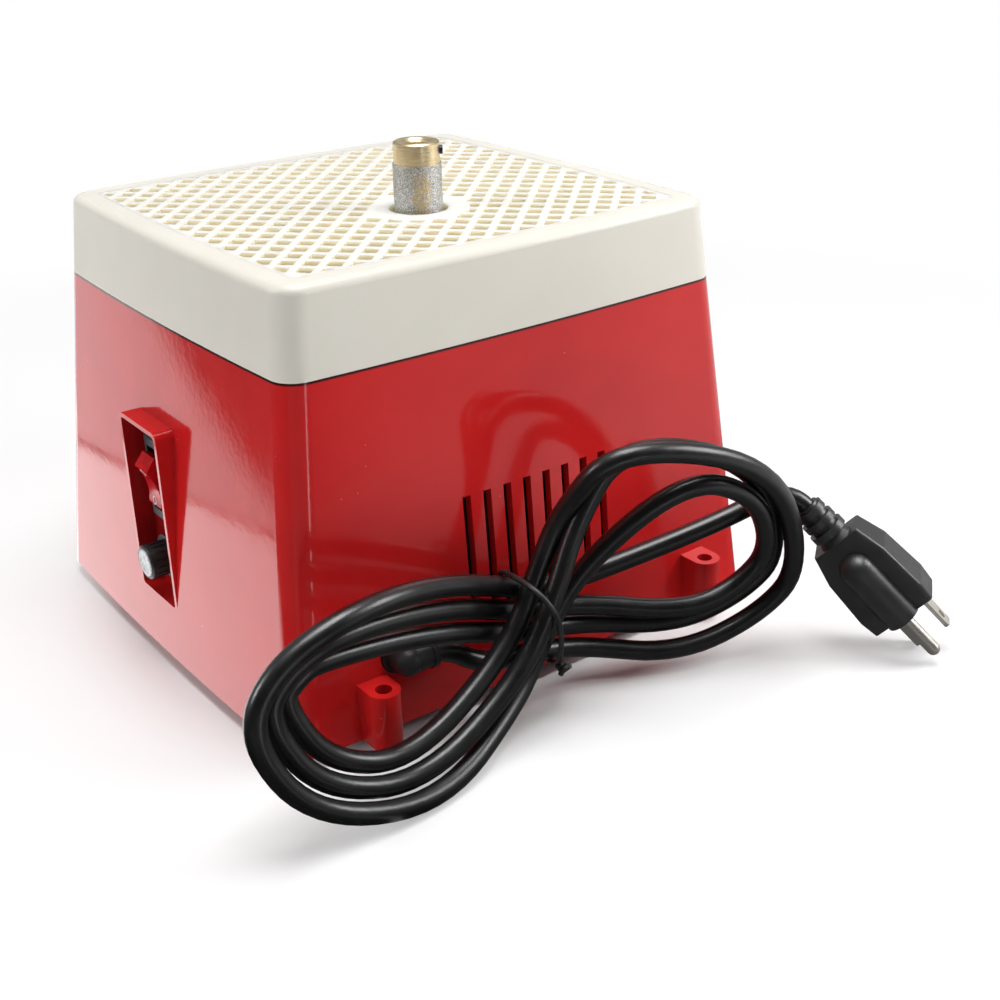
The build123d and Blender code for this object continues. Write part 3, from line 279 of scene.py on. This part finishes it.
# Motor, turning half: ground steel spindle, laminated core, copper windings and commutator, plastic fan.
# The core is a stack of thin sheets and the windings are lacquered wire, so both show fine lines.
LINE_EDGES = (0.35, 0.65)
shaft_steel = finish("shaft_steel", (0.30, 0.27, 0.22), 0.42, 1.0)
drawn = spots(shaft_steel, 0.004, (30, 30, 1))
lined(shaft_steel, drawn, (0.26, 0.23, 0.18), (0.36, 0.32, 0.26), 0.36, 0.50, 0.00001)
dress(shaft_steel, "spindle_shaft")
stack = finish("core_stack", (0.42, 0.42, 0.44), 0.42, 1.0)
sheets = spots(stack, 0.03, (1, 1, 60), detail=1.0)
lined(stack, sheets, (0.30, 0.30, 0.31), (0.52, 0.52, 0.54), 0.34, 0.52, 0.00006, LINE_EDGES)
dress(stack, "rotor_core")
copper = finish("copper_wire", (0.60, 0.26, 0.12), 0.3, 1.0)
strand = spots(copper, 0.02, (1, 1, 45), detail=1.0)
lined(copper, strand, (0.42, 0.15, 0.06), (0.72, 0.34, 0.17), 0.22, 0.42, 0.0001, LINE_EDGES)
dress(copper, "rotor_windings", "commutator")
dress(black, "cooling_fan", "water_slinger")

# Wiring: a small rectifier board feeds the motor, with plain round wires between switch, fuse and board.
# The wires have smooth coloured insulation, and the board a green lacquer over its copper.
TRACK_EDGE = (0.50, 0.53)
board = finish("board_green", (0.03, 0.16, 0.06), 0.35)
tracks = levels(board, spots(board, 0.006, (1, 3, 1), detail=0.0), *TRACK_EDGE, 0.0, 1.0)
feed(board, "Base Color", blend(board, tracks, (0.022, 0.12, 0.045), (0.045, 0.22, 0.08)))
uneven(board, 0.004, 0.28, 0.42)
relief(board, tracks, 0.00003)
dress(board, "rectifier_board")
brown = finish("wire_brown", (0.16, 0.06, 0.025), 0.4)
mottled(brown, 0.006, (0.13, 0.048, 0.02), (0.19, 0.072, 0.03))
uneven(brown, 0.003, 0.34, 0.5)
dress(brown, "live_wire", "fuse_wire", "switch_wire")
blue = finish("wire_blue", (0.02, 0.06, 0.30), 0.4)
mottled(blue, 0.006, (0.016, 0.05, 0.25), (0.025, 0.075, 0.35))
uneven(blue, 0.003, 0.34, 0.5)
dress(blue, "neutral_wire", "motor_cable")
tin = finish("tinned_brass", (0.62, 0.61, 0.58), 0.34, 1.0)
mottled(tin, 0.003, (0.54, 0.53, 0.50), (0.70, 0.69, 0.66))
uneven(tin, 0.002, 0.26, 0.44)
dress(tin, "switch_terminals", "fuse_terminals")

# Water tray: an off-white moulded basin under the worktop, with a standpipe round the spindle.
# Ground glass settles in it, so it has a faint bloom.
tray = finish("tray_plastic", (0.78, 0.75, 0.66), 0.4)
mottled(tray, 0.02, (0.74, 0.70, 0.60), (0.82, 0.80, 0.72))
uneven(tray, 0.01, 0.32, 0.5)
relief(tray, spots(tray, 0.0008), 0.00003)
dress(tray, "water_tray")

# Sponge: a cut block of open-cell foam that stands in the tray behind the bit and wets it.
# Its faces are sawn, so they are flat but full of torn pores.
PORE = 0.0034
PORE_DEPTH = 0.0011
PORE_FINER = 2.3
PORE_SHARE = 0.5
PORE_CONTRAST = 1.2
SPONGE_ROUND = 0.0012
SPONGE_CUTS = 40
sponge_low, sponge_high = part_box("tray_sponge")
sponge_mid = (sponge_low + sponge_high) / 2
sponge_size = sponge_high - sponge_low
shape = bmesh.new()
block = Matrix.Translation(sponge_mid) @ Matrix.Diagonal((*sponge_size, 1))
bmesh.ops.create_cube(shape, size=1.0, matrix=block)
bmesh.ops.bevel(
    shape, geom=shape.edges[:], offset=SPONGE_ROUND, segments=2, profile=0.5, affect="EDGES", material=-1
)
bmesh.ops.subdivide_edges(shape, edges=shape.edges[:], cuts=SPONGE_CUTS, use_grid_fill=True)
shape.normal_update()
pores = []
for vert in shape.verts:
    torn = noise.noise(vert.co / PORE) + PORE_SHARE * noise.noise(vert.co / PORE * PORE_FINER)
    pores.append(-vert.normal * PORE_DEPTH * min(1.0, max(0.0, 0.5 + PORE_CONTRAST * torn)))
for vert, dent in zip(shape.verts, pores):
    vert.co += dent
bmesh.ops.recalc_face_normals(shape, faces=shape.faces[:])


def piece(name, shape, look, body):
    """New object from a bmesh, smooth, with its finish, riding on a body."""
    mesh = bpy.data.meshes.new(name)
    for face in shape.faces:
        face.smooth = True
    shape.to_mesh(mesh)
    shape.free()
    mesh.materials.append(look)
    made = bpy.data.objects.new(name, mesh)
    bpy.context.scene.collection.objects.link(made)
    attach(made, body)
    return made


foam = finish("sponge_foam", (0.72, 0.52, 0.24), 0.95)
fibres = spots(foam, 0.0016, detail=3.0)
feed(foam, "Base Color", shades(foam, fibres, (0.3, (0.42, 0.26, 0.09)), (0.6, (0.76, 0.56, 0.27))))
relief(foam, fibres, 0.0005)
sponge = piece("wet_sponge", shape, foam, "base")
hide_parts("tray_sponge")

# Worktop: one cream moulding with a rounded rim and a diamond grid of square holes, which lifts off.
# The walls of its holes are painted a warm glow below the pale upper face, for light let in through the
# plastic; subsurface scattering adds some of it for real.
TOP_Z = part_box("worktop_rim")[1].z
GRID_T = 0.004
CREAM = (0.76, 0.73, 0.66)
CREAM_PALE = (0.83, 0.815, 0.765)
PAINTED_GLOW = (0.99, 0.84, 0.61)
PAINTED_GLOW_DEEP = (0.99, 0.76, 0.49)
cream_side = finish("cream_side", CREAM, 0.36)
mottled(cream_side, 0.03, (0.72, 0.69, 0.615), (0.75, 0.72, 0.645))
uneven(cream_side, 0.01, 0.30, 0.42)
relief(cream_side, spots(cream_side, 0.0007), 0.00002)
dress(cream_side, "worktop_rim")
cream_grid = finish("cream_grid", CREAM, 0.36)
# Painted light: below the top face the grid's colour turns to a warm glow, deeper further down the holes.
height = add(cream_grid, "SeparateXYZ", Vector=place(cream_grid)).outputs["Z"]
depth = levels(cream_grid, height, TOP_Z - GRID_T, TOP_Z, 0.0, 1.0)
grid_painted_glow = shades(cream_grid, depth, (0.0, PAINTED_GLOW_DEEP), (0.70, PAINTED_GLOW), (0.94, PAINTED_GLOW), (0.98, CREAM_PALE))
feed(cream_grid, "Base Color", grid_painted_glow)
uneven(cream_grid, 0.01, 0.30, 0.42)
relief(cream_grid, spots(cream_grid, 0.0007), 0.00002)
feed(cream_grid, "Subsurface Weight", 0.9)
feed(cream_grid, "Subsurface Radius", (1.0, 1.0, 1.0))
feed(cream_grid, "Subsurface Scale", GRID_T)
dress(cream_grid, "worktop_grid")

# Bit: a turned brass sleeve with a band of diamond grit plated on, clamped by a set screw.
# The collar shows the turning lines, and the grit shows brass where glass has worn it.
WORN_AT = (0.003, 0.0264, 0.160)
WORN_SIZE = (0.004, 0.004, 0.009)
WORN_EDGE = (0.02, 0.35)
WORN_MOST = 0.85
WORN_PATCH = (0.40, 0.56)
WORN_BRASS = (0.62, 0.46, 0.20)
GRIT = 0.00030
GRIT_SHADES = ((0.1, (0.24, 0.24, 0.25)), (0.5, (0.50, 0.50, 0.49)), (0.9, (0.80, 0.80, 0.78)))
brass = finish("turned_brass", (0.74, 0.57, 0.30), 0.3, 1.0)
turned = spots(brass, 0.006, (1, 1, 40), detail=3.0)
lined(brass, turned, (0.70, 0.54, 0.29), (0.93, 0.80, 0.55), 0.24, 0.42, 0.00004)
dress(brass, "bit_sleeve")
grit = finish("diamond_grit", (0.4, 0.4, 0.4), 0.45, 1.0)
grain = cells(grit, GRIT)
grey = shades(grit, grain.outputs["Color"], *GRIT_SHADES)
grit_at = add(grit, "TexCoord").outputs["Object"]
near_wear = add(grit, "Mapping", Vector=grit_at, Location=WORN_AT, Scale=WORN_SIZE)
near_wear.vector_type = "TEXTURE"
wear = add(grit, "TexGradient", Vector=near_wear.outputs[0])
wear.gradient_type = "SPHERICAL"
patchy = levels(grit, spots(grit, 0.0012, detail=4.0), *WORN_PATCH, 0.0, 1.0)
rubbed = levels(grit, wear.outputs["Fac"], *WORN_EDGE, 0.0, WORN_MOST)
rubbed = maths(grit, "MULTIPLY", patchy, rubbed)
feed(grit, "Base Color", blend(grit, rubbed, grey, WORN_BRASS))
relief(grit, grain.outputs["Distance"], 0.00013)
dress(grit, "diamond_band")
blued = finish("blued_steel", (0.05, 0.05, 0.055), 0.36, 1.0)
mottled(blued, 0.001, (0.035, 0.035, 0.04), (0.075, 0.075, 0.08))
uneven(blued, 0.001, 0.28, 0.46)
dress(blued, "set_screw")

# Switch: a dark bezel snapped into the pocket, with a glossy red rocker on a hidden pivot.
# A ring and a bar in white stand for off and on. They are printed on the rocker's two ends.
PIVOT = Vector((92.3, -9.097, 68.5)) * MM
ROCKER_TILT = math.radians(14.0)
DISH_LOW = 4.9
DISH_R = 18.4
MARK_Z = 5.9
MARK_T = 0.00012
MARK_PROUD = 0.00016
RING_R = 0.0017
RING_SIDES = 40
RING_SQUAT = 0.8
RING_LINE = 0.00042
BAR_LEN = 0.0032
BAR_WIDE = 0.0005
BAR_ROUND = 0.00005
grey_bezel = finish("grey_bezel", (0.025, 0.026, 0.03), 0.45)
mottled(grey_bezel, 0.006, (0.020, 0.021, 0.024), (0.030, 0.031, 0.036))
uneven(grey_bezel, 0.004, 0.38, 0.54)
relief(grey_bezel, spots(grey_bezel, 0.0004, detail=3.0), 0.00003)
dress(grey_bezel, "switch_body")
rocker_red = finish("rocker_red", (0.52, 0.006, 0.012), 0.12)
mottled(rocker_red, 0.003, (0.36, 0.003, 0.008), (0.66, 0.008, 0.014))
uneven(rocker_red, 0.005, 0.08, 0.16)
feed(rocker_red, "IOR", 1.2)
dress(rocker_red, "switch_rocker")
white_print = finish("white_print", (0.85, 0.85, 0.85), 0.5)
mottled(white_print, 0.0006, (0.78, 0.78, 0.78), (0.90, 0.90, 0.90))


def on_rocker(z):
    """Where a mark lies flat on the rocker's dished face, at a height from its middle in millimetres."""
    sag = DISH_R - math.sqrt(DISH_R ** 2 - z ** 2)
    lean = math.asin(z / DISH_R)
    face = Matrix.Translation(Vector((DISH_LOW + sag, 0, z)) * MM)
    turn = Matrix.Rotation(lean + math.pi / 2, 4, "Y") @ Matrix.Translation((0, 0, MARK_PROUD))
    return Matrix.Translation(PIVOT) @ Matrix.Rotation(ROCKER_TILT, 4, "Y") @ face @ turn


shape = bmesh.new()
bmesh.ops.create_circle(shape, cap_ends=True, segments=RING_SIDES, radius=RING_R)
bmesh.ops.scale(shape, vec=(1.0, RING_SQUAT, 1.0), verts=shape.verts[:])
disc = shape.faces[:]
bmesh.ops.inset_individual(shape, faces=disc, thickness=RING_LINE)
bmesh.ops.delete(shape, geom=disc, context="FACES_ONLY")
bmesh.ops.solidify(shape, geom=shape.faces[:], thickness=MARK_T)
bmesh.ops.recalc_face_normals(shape, faces=shape.faces[:])
bmesh.ops.transform(shape, matrix=on_rocker(-MARK_Z), verts=shape.verts[:])
piece("off_mark", shape, white_print, "rocker")
shape = bmesh.new()
bmesh.ops.create_cube(shape, size=1.0, matrix=Matrix.Diagonal((BAR_LEN, BAR_WIDE, 2 * MARK_T, 1)))
bmesh.ops.bevel(
    shape, geom=shape.edges[:], offset=BAR_ROUND, segments=2, profile=0.5, affect="EDGES", material=-1
)
bmesh.ops.transform(shape, matrix=on_rocker(MARK_Z), verts=shape.verts[:])
piece("on_mark", shape, white_print, "rocker")

# Fuse holder: a black barrel held by a nut, with a carrier for the glass link under a fluted twist cap.
# The cap carries a grainy pressed disc on its face, with a raised ring. Its pale grey is painted reflection
# of the bright room in the glossy black cap.
# DISC_OUTLINE is the disc's half section, in shares of its radius and in millimetres above the cap.
FUSE_AXIS = Vector((103.2, -9.097, 38.8)) * MM
DISC_R = 0.0052
DISC_SIDES = 48
DISC_OUTLINE = (
    (0.0, 0.30), (0.70, 0.30), (0.75, 0.42), (0.88, 0.42), (0.93, 0.30), (1.0, 0.12), (1.0, -0.2),
)
dress(black, "fuse_holder", "fuse_nut", "fuse_carrier", "fuse_cap")
fuse_glass = finish("fuse_glass", (0.80, 0.86, 0.86), 0.08)
mottled(fuse_glass, 0.004, (0.74, 0.80, 0.80), (0.86, 0.92, 0.92))
uneven(fuse_glass, 0.002, 0.05, 0.12)
dress(fuse_glass, "fuse_link")
# Painted reflection: the disc is pale grey, standing for the bright room mirrored in the black cap.
painted_reflection_disc = finish("pressed_disc_painted_reflection", (0.52, 0.53, 0.54), 0.42, 0.3)
pressed = cells(painted_reflection_disc, 0.0009).outputs["Distance"]
disc_painted_reflection = shades(painted_reflection_disc, pressed, (0.1, (0.66, 0.67, 0.68)), (0.8, (0.34, 0.35, 0.36)))
feed(painted_reflection_disc, "Base Color", disc_painted_reflection)
uneven(painted_reflection_disc, 0.001, 0.32, 0.5)
relief(painted_reflection_disc, pressed, 0.0002)
shape = bmesh.new()
rim = [shape.verts.new((DISC_R * reach, 0, out * MM)) for reach, out in DISC_OUTLINE]
for one, other in zip(rim, rim[1:]):
    shape.edges.new((one, other))
bmesh.ops.spin(
    shape, geom=shape.verts[:] + shape.edges[:], axis=(0, 0, 1), cent=(0, 0, 0),
    angle=2 * math.pi, steps=DISC_SIDES, use_merge=True,
)
bmesh.ops.remove_doubles(shape, verts=shape.verts[:], dist=1e-6)
bmesh.ops.holes_fill(shape, edges=shape.edges[:], sides=0)
bmesh.ops.recalc_face_normals(shape, faces=shape.faces[:])
to_face = Matrix.Translation(FUSE_AXIS) @ Matrix.Rotation(math.pi / 2, 4, "Y")
bmesh.ops.transform(shape, matrix=to_face, verts=shape.verts[:])
piece("fuse_disc", shape, painted_reflection_disc, "fuse_knob")

# Cord bushing: a right-angle moulding of black plastic, snapped into the back wall from outside.
# Its short barrel turns the cord along the wall.
dress(black, "strain_relief")

# Mains cord: round black rubber flex, 7 mm thick, seen from its bushing to its plug.
# Three figure-eight turns stand on edge against the back wall, held together by a wire tie.
# The jacket is extruded, so it has a soft sheen and fine pits.
CORD_D = 7.0
CORD_ROUNDING = 7
CORD_STEPS = 8
CORD_OUT = Vector((55.2, 92.47, 30.4))
TIE_X = 16.97
LAY_BACK_Y = 97.0
BACK_Z = 18.99
BACK_STEP = 8.31
FRONT = ((105.81, 55.74), (113.9, 49.95), (105.63, 24.86))
HOLD = 0.688
RIGHT = {
    "side": -1,
    "reach": (93.0, 90.0, 82.5),
    "top": (93.96, 91.0, 75.36),
    "low": (9.2, 17.54, 25.88),
    "foot": (99.71, 92.5, 97.09),
    "mid": (36.47, 41.0, 45.0),
    "deep_low": 1.477,
    "deep_top": 1.219,
    "knee_at_low": 0.439,
    "knee_low": 0.536,
    "knee_at_top": 0.391,
    "knee_top": 0.524,
    "lean": -0.183,
    "swing": 0.27,
}
LEFT = {
    "side": 1,
    "reach": (95.23, 102.7, 110.17),
    "top": (53.01, 61.02, 69.03),
    "low": (15.06, 9.43, 3.8),
    "foot": (116.82, 121.46, 126.1),
    "mid": (43.99, 43.99, 43.99),
    "deep_low": 1.36,
    "deep_top": 1.65,
    "knee_at_low": 0.289,
    "knee_low": 0.425,
    "knee_at_top": 0.471,
    "knee_top": 0.417,
    "lean": 0.168,
    "swing": 0.0,
}
SWELL = 0.15
LEAD_STRAIGHT = 9.0
TAIL_STRAIGHT = 10.0
PLUG_FACE = Vector((-108.2, 156.9, 17.35))
PLUG_AIM = Vector((-0.43, 0.57, -0.70)).normalized()
PLUG_LEN = 36.0
RELIEF_LEN = 16.0
RELIEF_AT = PLUG_FACE - PLUG_AIM * (PLUG_LEN + RELIEF_LEN)


def lobe(turn, form, z_in, z_out, y_in, y_out):
    """Route of one lobe from the tie round its low side, far end and top, back towards the tie."""
    reach, top, mid, low, foot = (form[name][turn] for name in ("reach", "top", "mid", "low", "foot"))
    flat_low = reach - form["deep_low"] * (mid - low)
    flat_top = reach - form["deep_top"] * (top - mid)
    marks = [(0.0, z_in, y_in, 1.0)]
    marks.append((form["knee_at_low"] * flat_low, low + form["knee_low"] * (z_in - low), y_in, HOLD))
    for angle in (-90, -45, 0, 45, 90):
        rise = mid - low if angle < 0 else top - mid
        deep = form["deep_low"] if angle < 0 else form["deep_top"]
        x = reach - deep * rise * (1 - math.cos(math.radians(angle)))
        marks.append((x, mid + rise * math.sin(math.radians(angle)), y_in, 0.0))
    marks.append((form["knee_at_top"] * flat_top, top - form["knee_top"] * (top - z_out), y_out, HOLD))
    found = []
    for x, z, layer, share in marks:
        y = share * layer + (1 - share) * (foot - form["lean"] * z + form["swing"] * x)
        found.append(Vector((TIE_X + form["side"] * x, y, z)))
    return found


wound = []
for k, (front_y, front_z) in enumerate(FRONT):
    wound += lobe(k, RIGHT, BACK_Z + BACK_STEP * k, front_z, LAY_BACK_Y, front_y)
    wound += lobe(k, LEFT, front_z, BACK_Z + BACK_STEP * (k + 1), front_y, LAY_BACK_Y)
wound.append(Vector((TIE_X, LAY_BACK_Y, BACK_Z + BACK_STEP * len(FRONT))))
turns = [wound[0]]
for before, here, after in zip(wound, wound[1:], wound[2:]):
    turns.append(here + (here - (before + after) / 2) * 2 * SWELL)
turns.append(wound[-1])
lead = [CORD_OUT, CORD_OUT - Vector((LEAD_STRAIGHT, 0, 0)), Vector((33.85, 96.65, 20.95))]
tail = [
    Vector((1.8, 95.2, 39.1)),
    Vector((-18.8, 100.0, 41.4)),
    Vector((-59.2, 112.0, 50.4)),
    RELIEF_AT - PLUG_AIM * TAIL_STRAIGHT,
    RELIEF_AT,
]


def flex(name, across, rounding, look):
    """New round wire of a thickness in millimetres, still without a route."""
    curve = bpy.data.curves.new(name, "CURVE")
    curve.dimensions = "3D"
    curve.bevel_depth = across / 2 * MM
    curve.bevel_resolution = rounding
    curve.use_fill_caps = True
    curve.materials.append(look)
    made = bpy.data.objects.new(name, curve)
    bpy.context.scene.collection.objects.link(made)
    return made


def run(wire, points, steps, closed=False):
    """Lays a wire in a smooth line along control points in millimetres."""
    line = wire.data.splines.new("NURBS")
    line.points.add(len(points) - 1)
    for point, at in zip(line.points, points):
        point.co = (*(at * MM), 1.0)
    line.order_u = 3
    line.use_cyclic_u = closed
    line.use_endpoint_u = not closed
    line.resolution_u = steps


jacket = finish("cord_jacket", (0.006, 0.006, 0.007), 0.25)
mottled(jacket, 0.012, (0.004, 0.004, 0.004), (0.008, 0.008, 0.009))
uneven(jacket, 0.006, 0.28, 0.36)
feed(jacket, "Specular IOR Level", 0.75)
relief(jacket, spots(jacket, 0.0007, detail=3.0), 0.00003)
mains_cord = flex("mains_cord", CORD_D, CORD_ROUNDING, jacket)
run(mains_cord, lead + turns + tail, CORD_STEPS)
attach(mains_cord, "base")
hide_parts("cord_lead", "cord_hank", "cord_tail")

# Wire tie: a plastic-coated wire bent once round the crossing strands, its two ends twisted together below.
# It lies in a plane turned to stand square across the front strands.
TIE_D = 1.9
TIE_ROUNDING = 4
TIE_STEPS = 6
TIE_TURN = math.radians(24.0)
TIE_RISE = 4.0
TIE_MID = Vector((TIE_X, 0.0, BACK_Z + BACK_STEP * len(FRONT) / 2 + TIE_RISE))
TIE_UP = Vector((math.sin(TIE_TURN), 0.0, math.cos(TIE_TURN)))
TIE_OUT = Vector((math.cos(TIE_TURN), 0.0, -math.sin(TIE_TURN)))
LOOP = (
    (103.0, -24.0), (109.5, -15.0), (116.5, -2.0), (121.0, 11.0), (116.0, 19.5),
    (104.0, 20.0), (93.5, 18.5), (90.8, 6.0), (91.4, -10.0), (94.5, -26.0),
)
TWIST_AT = (104.5, -23.0)
TWIST_LEN = 5.0
TWIST_R = 1.0
TWIST_TURNS = 1.75
TWIST_STEPS = 14
TWIST_FLARE = 1.2
FLARE_FROM = 0.7
TWIST_WAY = (0.55, -0.25)
TWIST_ACROSS = (0.6, 0.8)


def in_tie(y, up, out=0.0):
    """Point of the tie's plane, in millimetres, from its depth and its height along the plane."""
    return TIE_MID + Vector((0.0, y, 0.0)) + TIE_UP * up + TIE_OUT * out


tie_black = finish("tie_coat", (0.016, 0.016, 0.017), 0.4)
mottled(tie_black, 0.004, (0.011,) * 3, (0.022,) * 3)
uneven(tie_black, 0.002, 0.32, 0.48)
wire_tie = flex("wire_tie", TIE_D, TIE_ROUNDING, tie_black)
run(wire_tie, [in_tie(y, up) for y, up in LOOP], TIE_STEPS, closed=True)
for start in (0.0, math.pi):
    strand_points = []
    for step in range(TWIST_STEPS + 1):
        share = step / TWIST_STEPS
        angle = start + 2 * math.pi * TWIST_TURNS * share
        wide = TWIST_R + TWIST_FLARE * max(0.0, share - FLARE_FROM) / (1 - FLARE_FROM)
        y, up = (
            at + TWIST_LEN * share * way + wide * math.cos(angle) * across
            for at, way, across in zip(TWIST_AT, TWIST_WAY, TWIST_ACROSS)
        )
        strand_points.append(in_tie(y, up, wide * math.sin(angle)))
    run(wire_tie, strand_points, TIE_STEPS)
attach(wire_tie, "base")
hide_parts("cord_tie")

# Plug: soft black plastic moulded over the cord's end, with a ribbed relief and a ridge for the earth pin.
# The two blades and the round pin are nickel-plated brass, with the plating brushed by use.
plug_black = finish("plug_black", (0.018, 0.018, 0.019), 0.38)
mottled(plug_black, 0.008, (0.015, 0.015, 0.016), (0.022, 0.022, 0.023))
uneven(plug_black, 0.005, 0.32, 0.42)
feed(plug_black, "Specular IOR Level", 0.8)
relief(plug_black, spots(plug_black, 0.0005, detail=3.0), 0.00004)
dress(plug_black, "plug_relief", "plug_body")
nickel = finish("nickel_plate", (0.86, 0.83, 0.76), 0.40, 1.0)
mottled(nickel, 0.004, (0.82, 0.78, 0.70), (0.90, 0.87, 0.81))
uneven(nickel, 0.002, 0.34, 0.46)
relief(nickel, spots(nickel, 0.0012, (6, 6, 1)), 0.0000015)
dress(nickel, "plug_blades", "plug_ground_pin")

# Studio: a white table that fades into a white backdrop, a wide soft lamp above and two weak lower ones.
# Seen only by glossy rays, the table gives off painted light that makes the object's reflections: bright on
# the switch side up to a dark edge, with one dark stripe.
# Elsewhere MIRROR_ROUND sets it, by shares of a turn about CORNER, dim near the object and brighter away.
TABLE_HALF = 3.0
FADE_FROM = 0.26
FADE_TO = 0.55
NEAR_SHADOW_LIFT = 0.4
LIFT_FROM = 0.11
LIFT_TO = 0.17
STRIPE_AT = 0.2657
STRIPE_LEAN = 0.436
STRIPE_HALF = 0.005
STRIPE_CORE = 0.6
EDGE_LEAN = 0.25
EDGE_FROM = 0.180
EDGE_TO = 0.225
MIRROR_NEAR = 2.5
MIRROR_FAR = 1.5
MIRROR_DARK = 0.12
MIRROR_REACH = (0.2, 0.35)
MIRROR_RISE = (0.5, 4.0)
SIDE_FROM = 0.82
SIDE_TO = 0.87
SKY = 0.2
ROOM_TURN = (-0.1, 0.6)
ROOM_LIGHT = (0.45, 0.04)
CORNER = Vector((0.092, 0.085, 0.0))
MIRROR_ROUND = (
    (0.0, 0.20), (0.34, 0.22), (0.41, 0.12), (0.438, 0.03), (0.480, 0.03), (0.484, 0.9),
    (0.494, 0.9), (0.498, 0.04), (0.66, 0.05), (0.69, 0.02), (SIDE_FROM, 0.02), (SIDE_TO, 0.0),
)
shape = bmesh.new()
bmesh.ops.create_grid(shape, x_segments=1, y_segments=1, size=TABLE_HALF)
table_mesh = bpy.data.meshes.new("table")
shape.to_mesh(table_mesh)
shape.free()
table = bpy.data.objects.new("table", table_mesh)
bpy.context.scene.collection.objects.link(table)
table_white = finish("table_white", (0.88, 0.88, 0.88), 0.7)
table_mesh.materials.append(table_white)


def either(look, share, one, other):
    """Mixes two shaders of a finish by a share."""
    made = add(look, "MixShader", Fac=share)
    give(look, made.inputs[1], one)
    give(look, made.inputs[2], other)
    return made.outputs[0]


def leaning(look, axes, lean):
    """Distance along X on the table, in lines that lean by a slope along Y."""
    return maths(look, "ADD", axes.outputs["X"], maths(look, "MULTIPLY", axes.outputs["Y"], lean))


at = place(table_white)
axes = add(table_white, "SeparateXYZ", Vector=at)
length = add(table_white, "VectorMath")
length.operation = "LENGTH"
give(table_white, length.inputs[0], at)
away = length.outputs["Value"]
rays = add(table_white, "LightPath")
# Painted light: near the object, the table seen by the camera is mixed with white by NEAR_SHADOW_LIFT,
# which lightens its cast shadows. Closer than LIFT_FROM nothing is mixed in, so the shade under the housing
# stays dark.
far = levels(table_white, away, FADE_FROM, FADE_TO, NEAR_SHADOW_LIFT, 1.0)
far = maths(table_white, "MINIMUM", far, levels(table_white, away, LIFT_FROM, LIFT_TO, 0.0, 1.0))
faded = maths(table_white, "MULTIPLY", far, rays.outputs["Is Camera Ray"])
plain = table_white.node_tree.nodes["Principled BSDF"].outputs[0]
backdrop = add(table_white, "Emission", Strength=1.0).outputs[0]
shown = either(table_white, faded, plain, backdrop)
# Painted reflection light, seen only by glossy rays: bands and stripes of emission on the table.
past = maths(table_white, "SUBTRACT", leaning(table_white, axes, -STRIPE_LEAN), STRIPE_AT)
bright = levels(table_white, past, 0.0, STRIPE_HALF, MIRROR_NEAR, MIRROR_FAR)
beside = maths(table_white, "ABSOLUTE", past)
stripe = levels(table_white, beside, STRIPE_HALF * STRIPE_CORE, STRIPE_HALF, MIRROR_DARK, MIRROR_NEAR)
outward = leaning(table_white, axes, EDGE_LEAN)
edge = levels(table_white, outward, EDGE_FROM, EDGE_TO, MIRROR_NEAR, MIRROR_DARK)
switch_side = maths(table_white, "MINIMUM", maths(table_white, "MINIMUM", bright, stripe), edge)
off_x = maths(table_white, "SUBTRACT", axes.outputs["X"], CORNER.x)
off_y = maths(table_white, "SUBTRACT", axes.outputs["Y"], CORNER.y)
turned_by = maths(table_white, "ARCTAN2", off_x, off_y)
heading = levels(table_white, turned_by, -math.pi, math.pi, 0.0, 1.0)
rounds = shades(table_white, heading, *[(share, (value,) * 3) for share, value in MIRROR_ROUND])
rounds = maths(table_white, "MULTIPLY", rounds, levels(table_white, away, *MIRROR_REACH, *MIRROR_RISE))
on_side = levels(table_white, heading, SIDE_FROM, SIDE_TO, 0.0, 1.0)
switch_side = maths(table_white, "MULTIPLY", switch_side, on_side)
mirror_light = maths(table_white, "ADD", switch_side, rounds)
mirrored = add(table_white, "Emission", Strength=mirror_light).outputs[0]
shown = either(table_white, rays.outputs["Is Glossy Ray"], shown, mirrored)
give(table_white, table_white.node_tree.nodes["Material Output"].inputs["Surface"], shown)


def lamp(name, at, target, size, power):
    """Square soft lamp that looks at a point."""
    data = bpy.data.lights.new(name, "AREA")
    data.size = size
    data.energy = power
    made = bpy.data.objects.new(name, data)
    made.location = at
    made.rotation_mode = "QUATERNION"
    made.rotation_quaternion = (Vector(target) - Vector(at)).to_track_quat("-Z", "Y")
    bpy.context.scene.collection.objects.link(made)


lamp("overhead", (-0.05, 0.1, 1.3), (0, 0, 0.1), 0.75, 15.2)
lamp("side_lamp", (1.0, -0.4, 0.7), (0, 0, 0.1), 0.35, 4.3)
lamp("back_lamp", (-0.4, 0.35, 0.35), (-0.05, 0.08, 0.1), 0.25, 1.6)
studio = bpy.data.worlds.new("studio")
studio.use_nodes = True
bpy.context.scene.world = studio
sky = studio.node_tree.nodes["Background"]
give(studio, sky.inputs["Color"], (1, 1, 1))
give(studio, sky.inputs["Strength"], SKY)
rays = add(studio, "LightPath")
facing = add(studio, "VectorMath")
facing.operation = "DOT_PRODUCT"
give(studio, facing.inputs[0], add(studio, "TexCoord").outputs["Generated"])
give(studio, facing.inputs[1], (math.sin(EYE_AZIMUTH), math.cos(EYE_AZIMUTH), 0.0))
room = levels(studio, facing.outputs["Value"], *ROOM_TURN, *ROOM_LIGHT)
mirrored = add(studio, "Background", Strength=room).outputs[0]
white = add(studio, "Background", Color=(1, 1, 1), Strength=1.0).outputs[0]
shown = either(studio, rays.outputs["Is Glossy Ray"], sky.outputs[0], mirrored)
shown = either(studio, rays.outputs["Is Camera Ray"], shown, white)
give(studio, studio.node_tree.nodes["World Output"].inputs["Surface"], shown)
bpy.context.scene.view_settings.view_transform = "Standard"
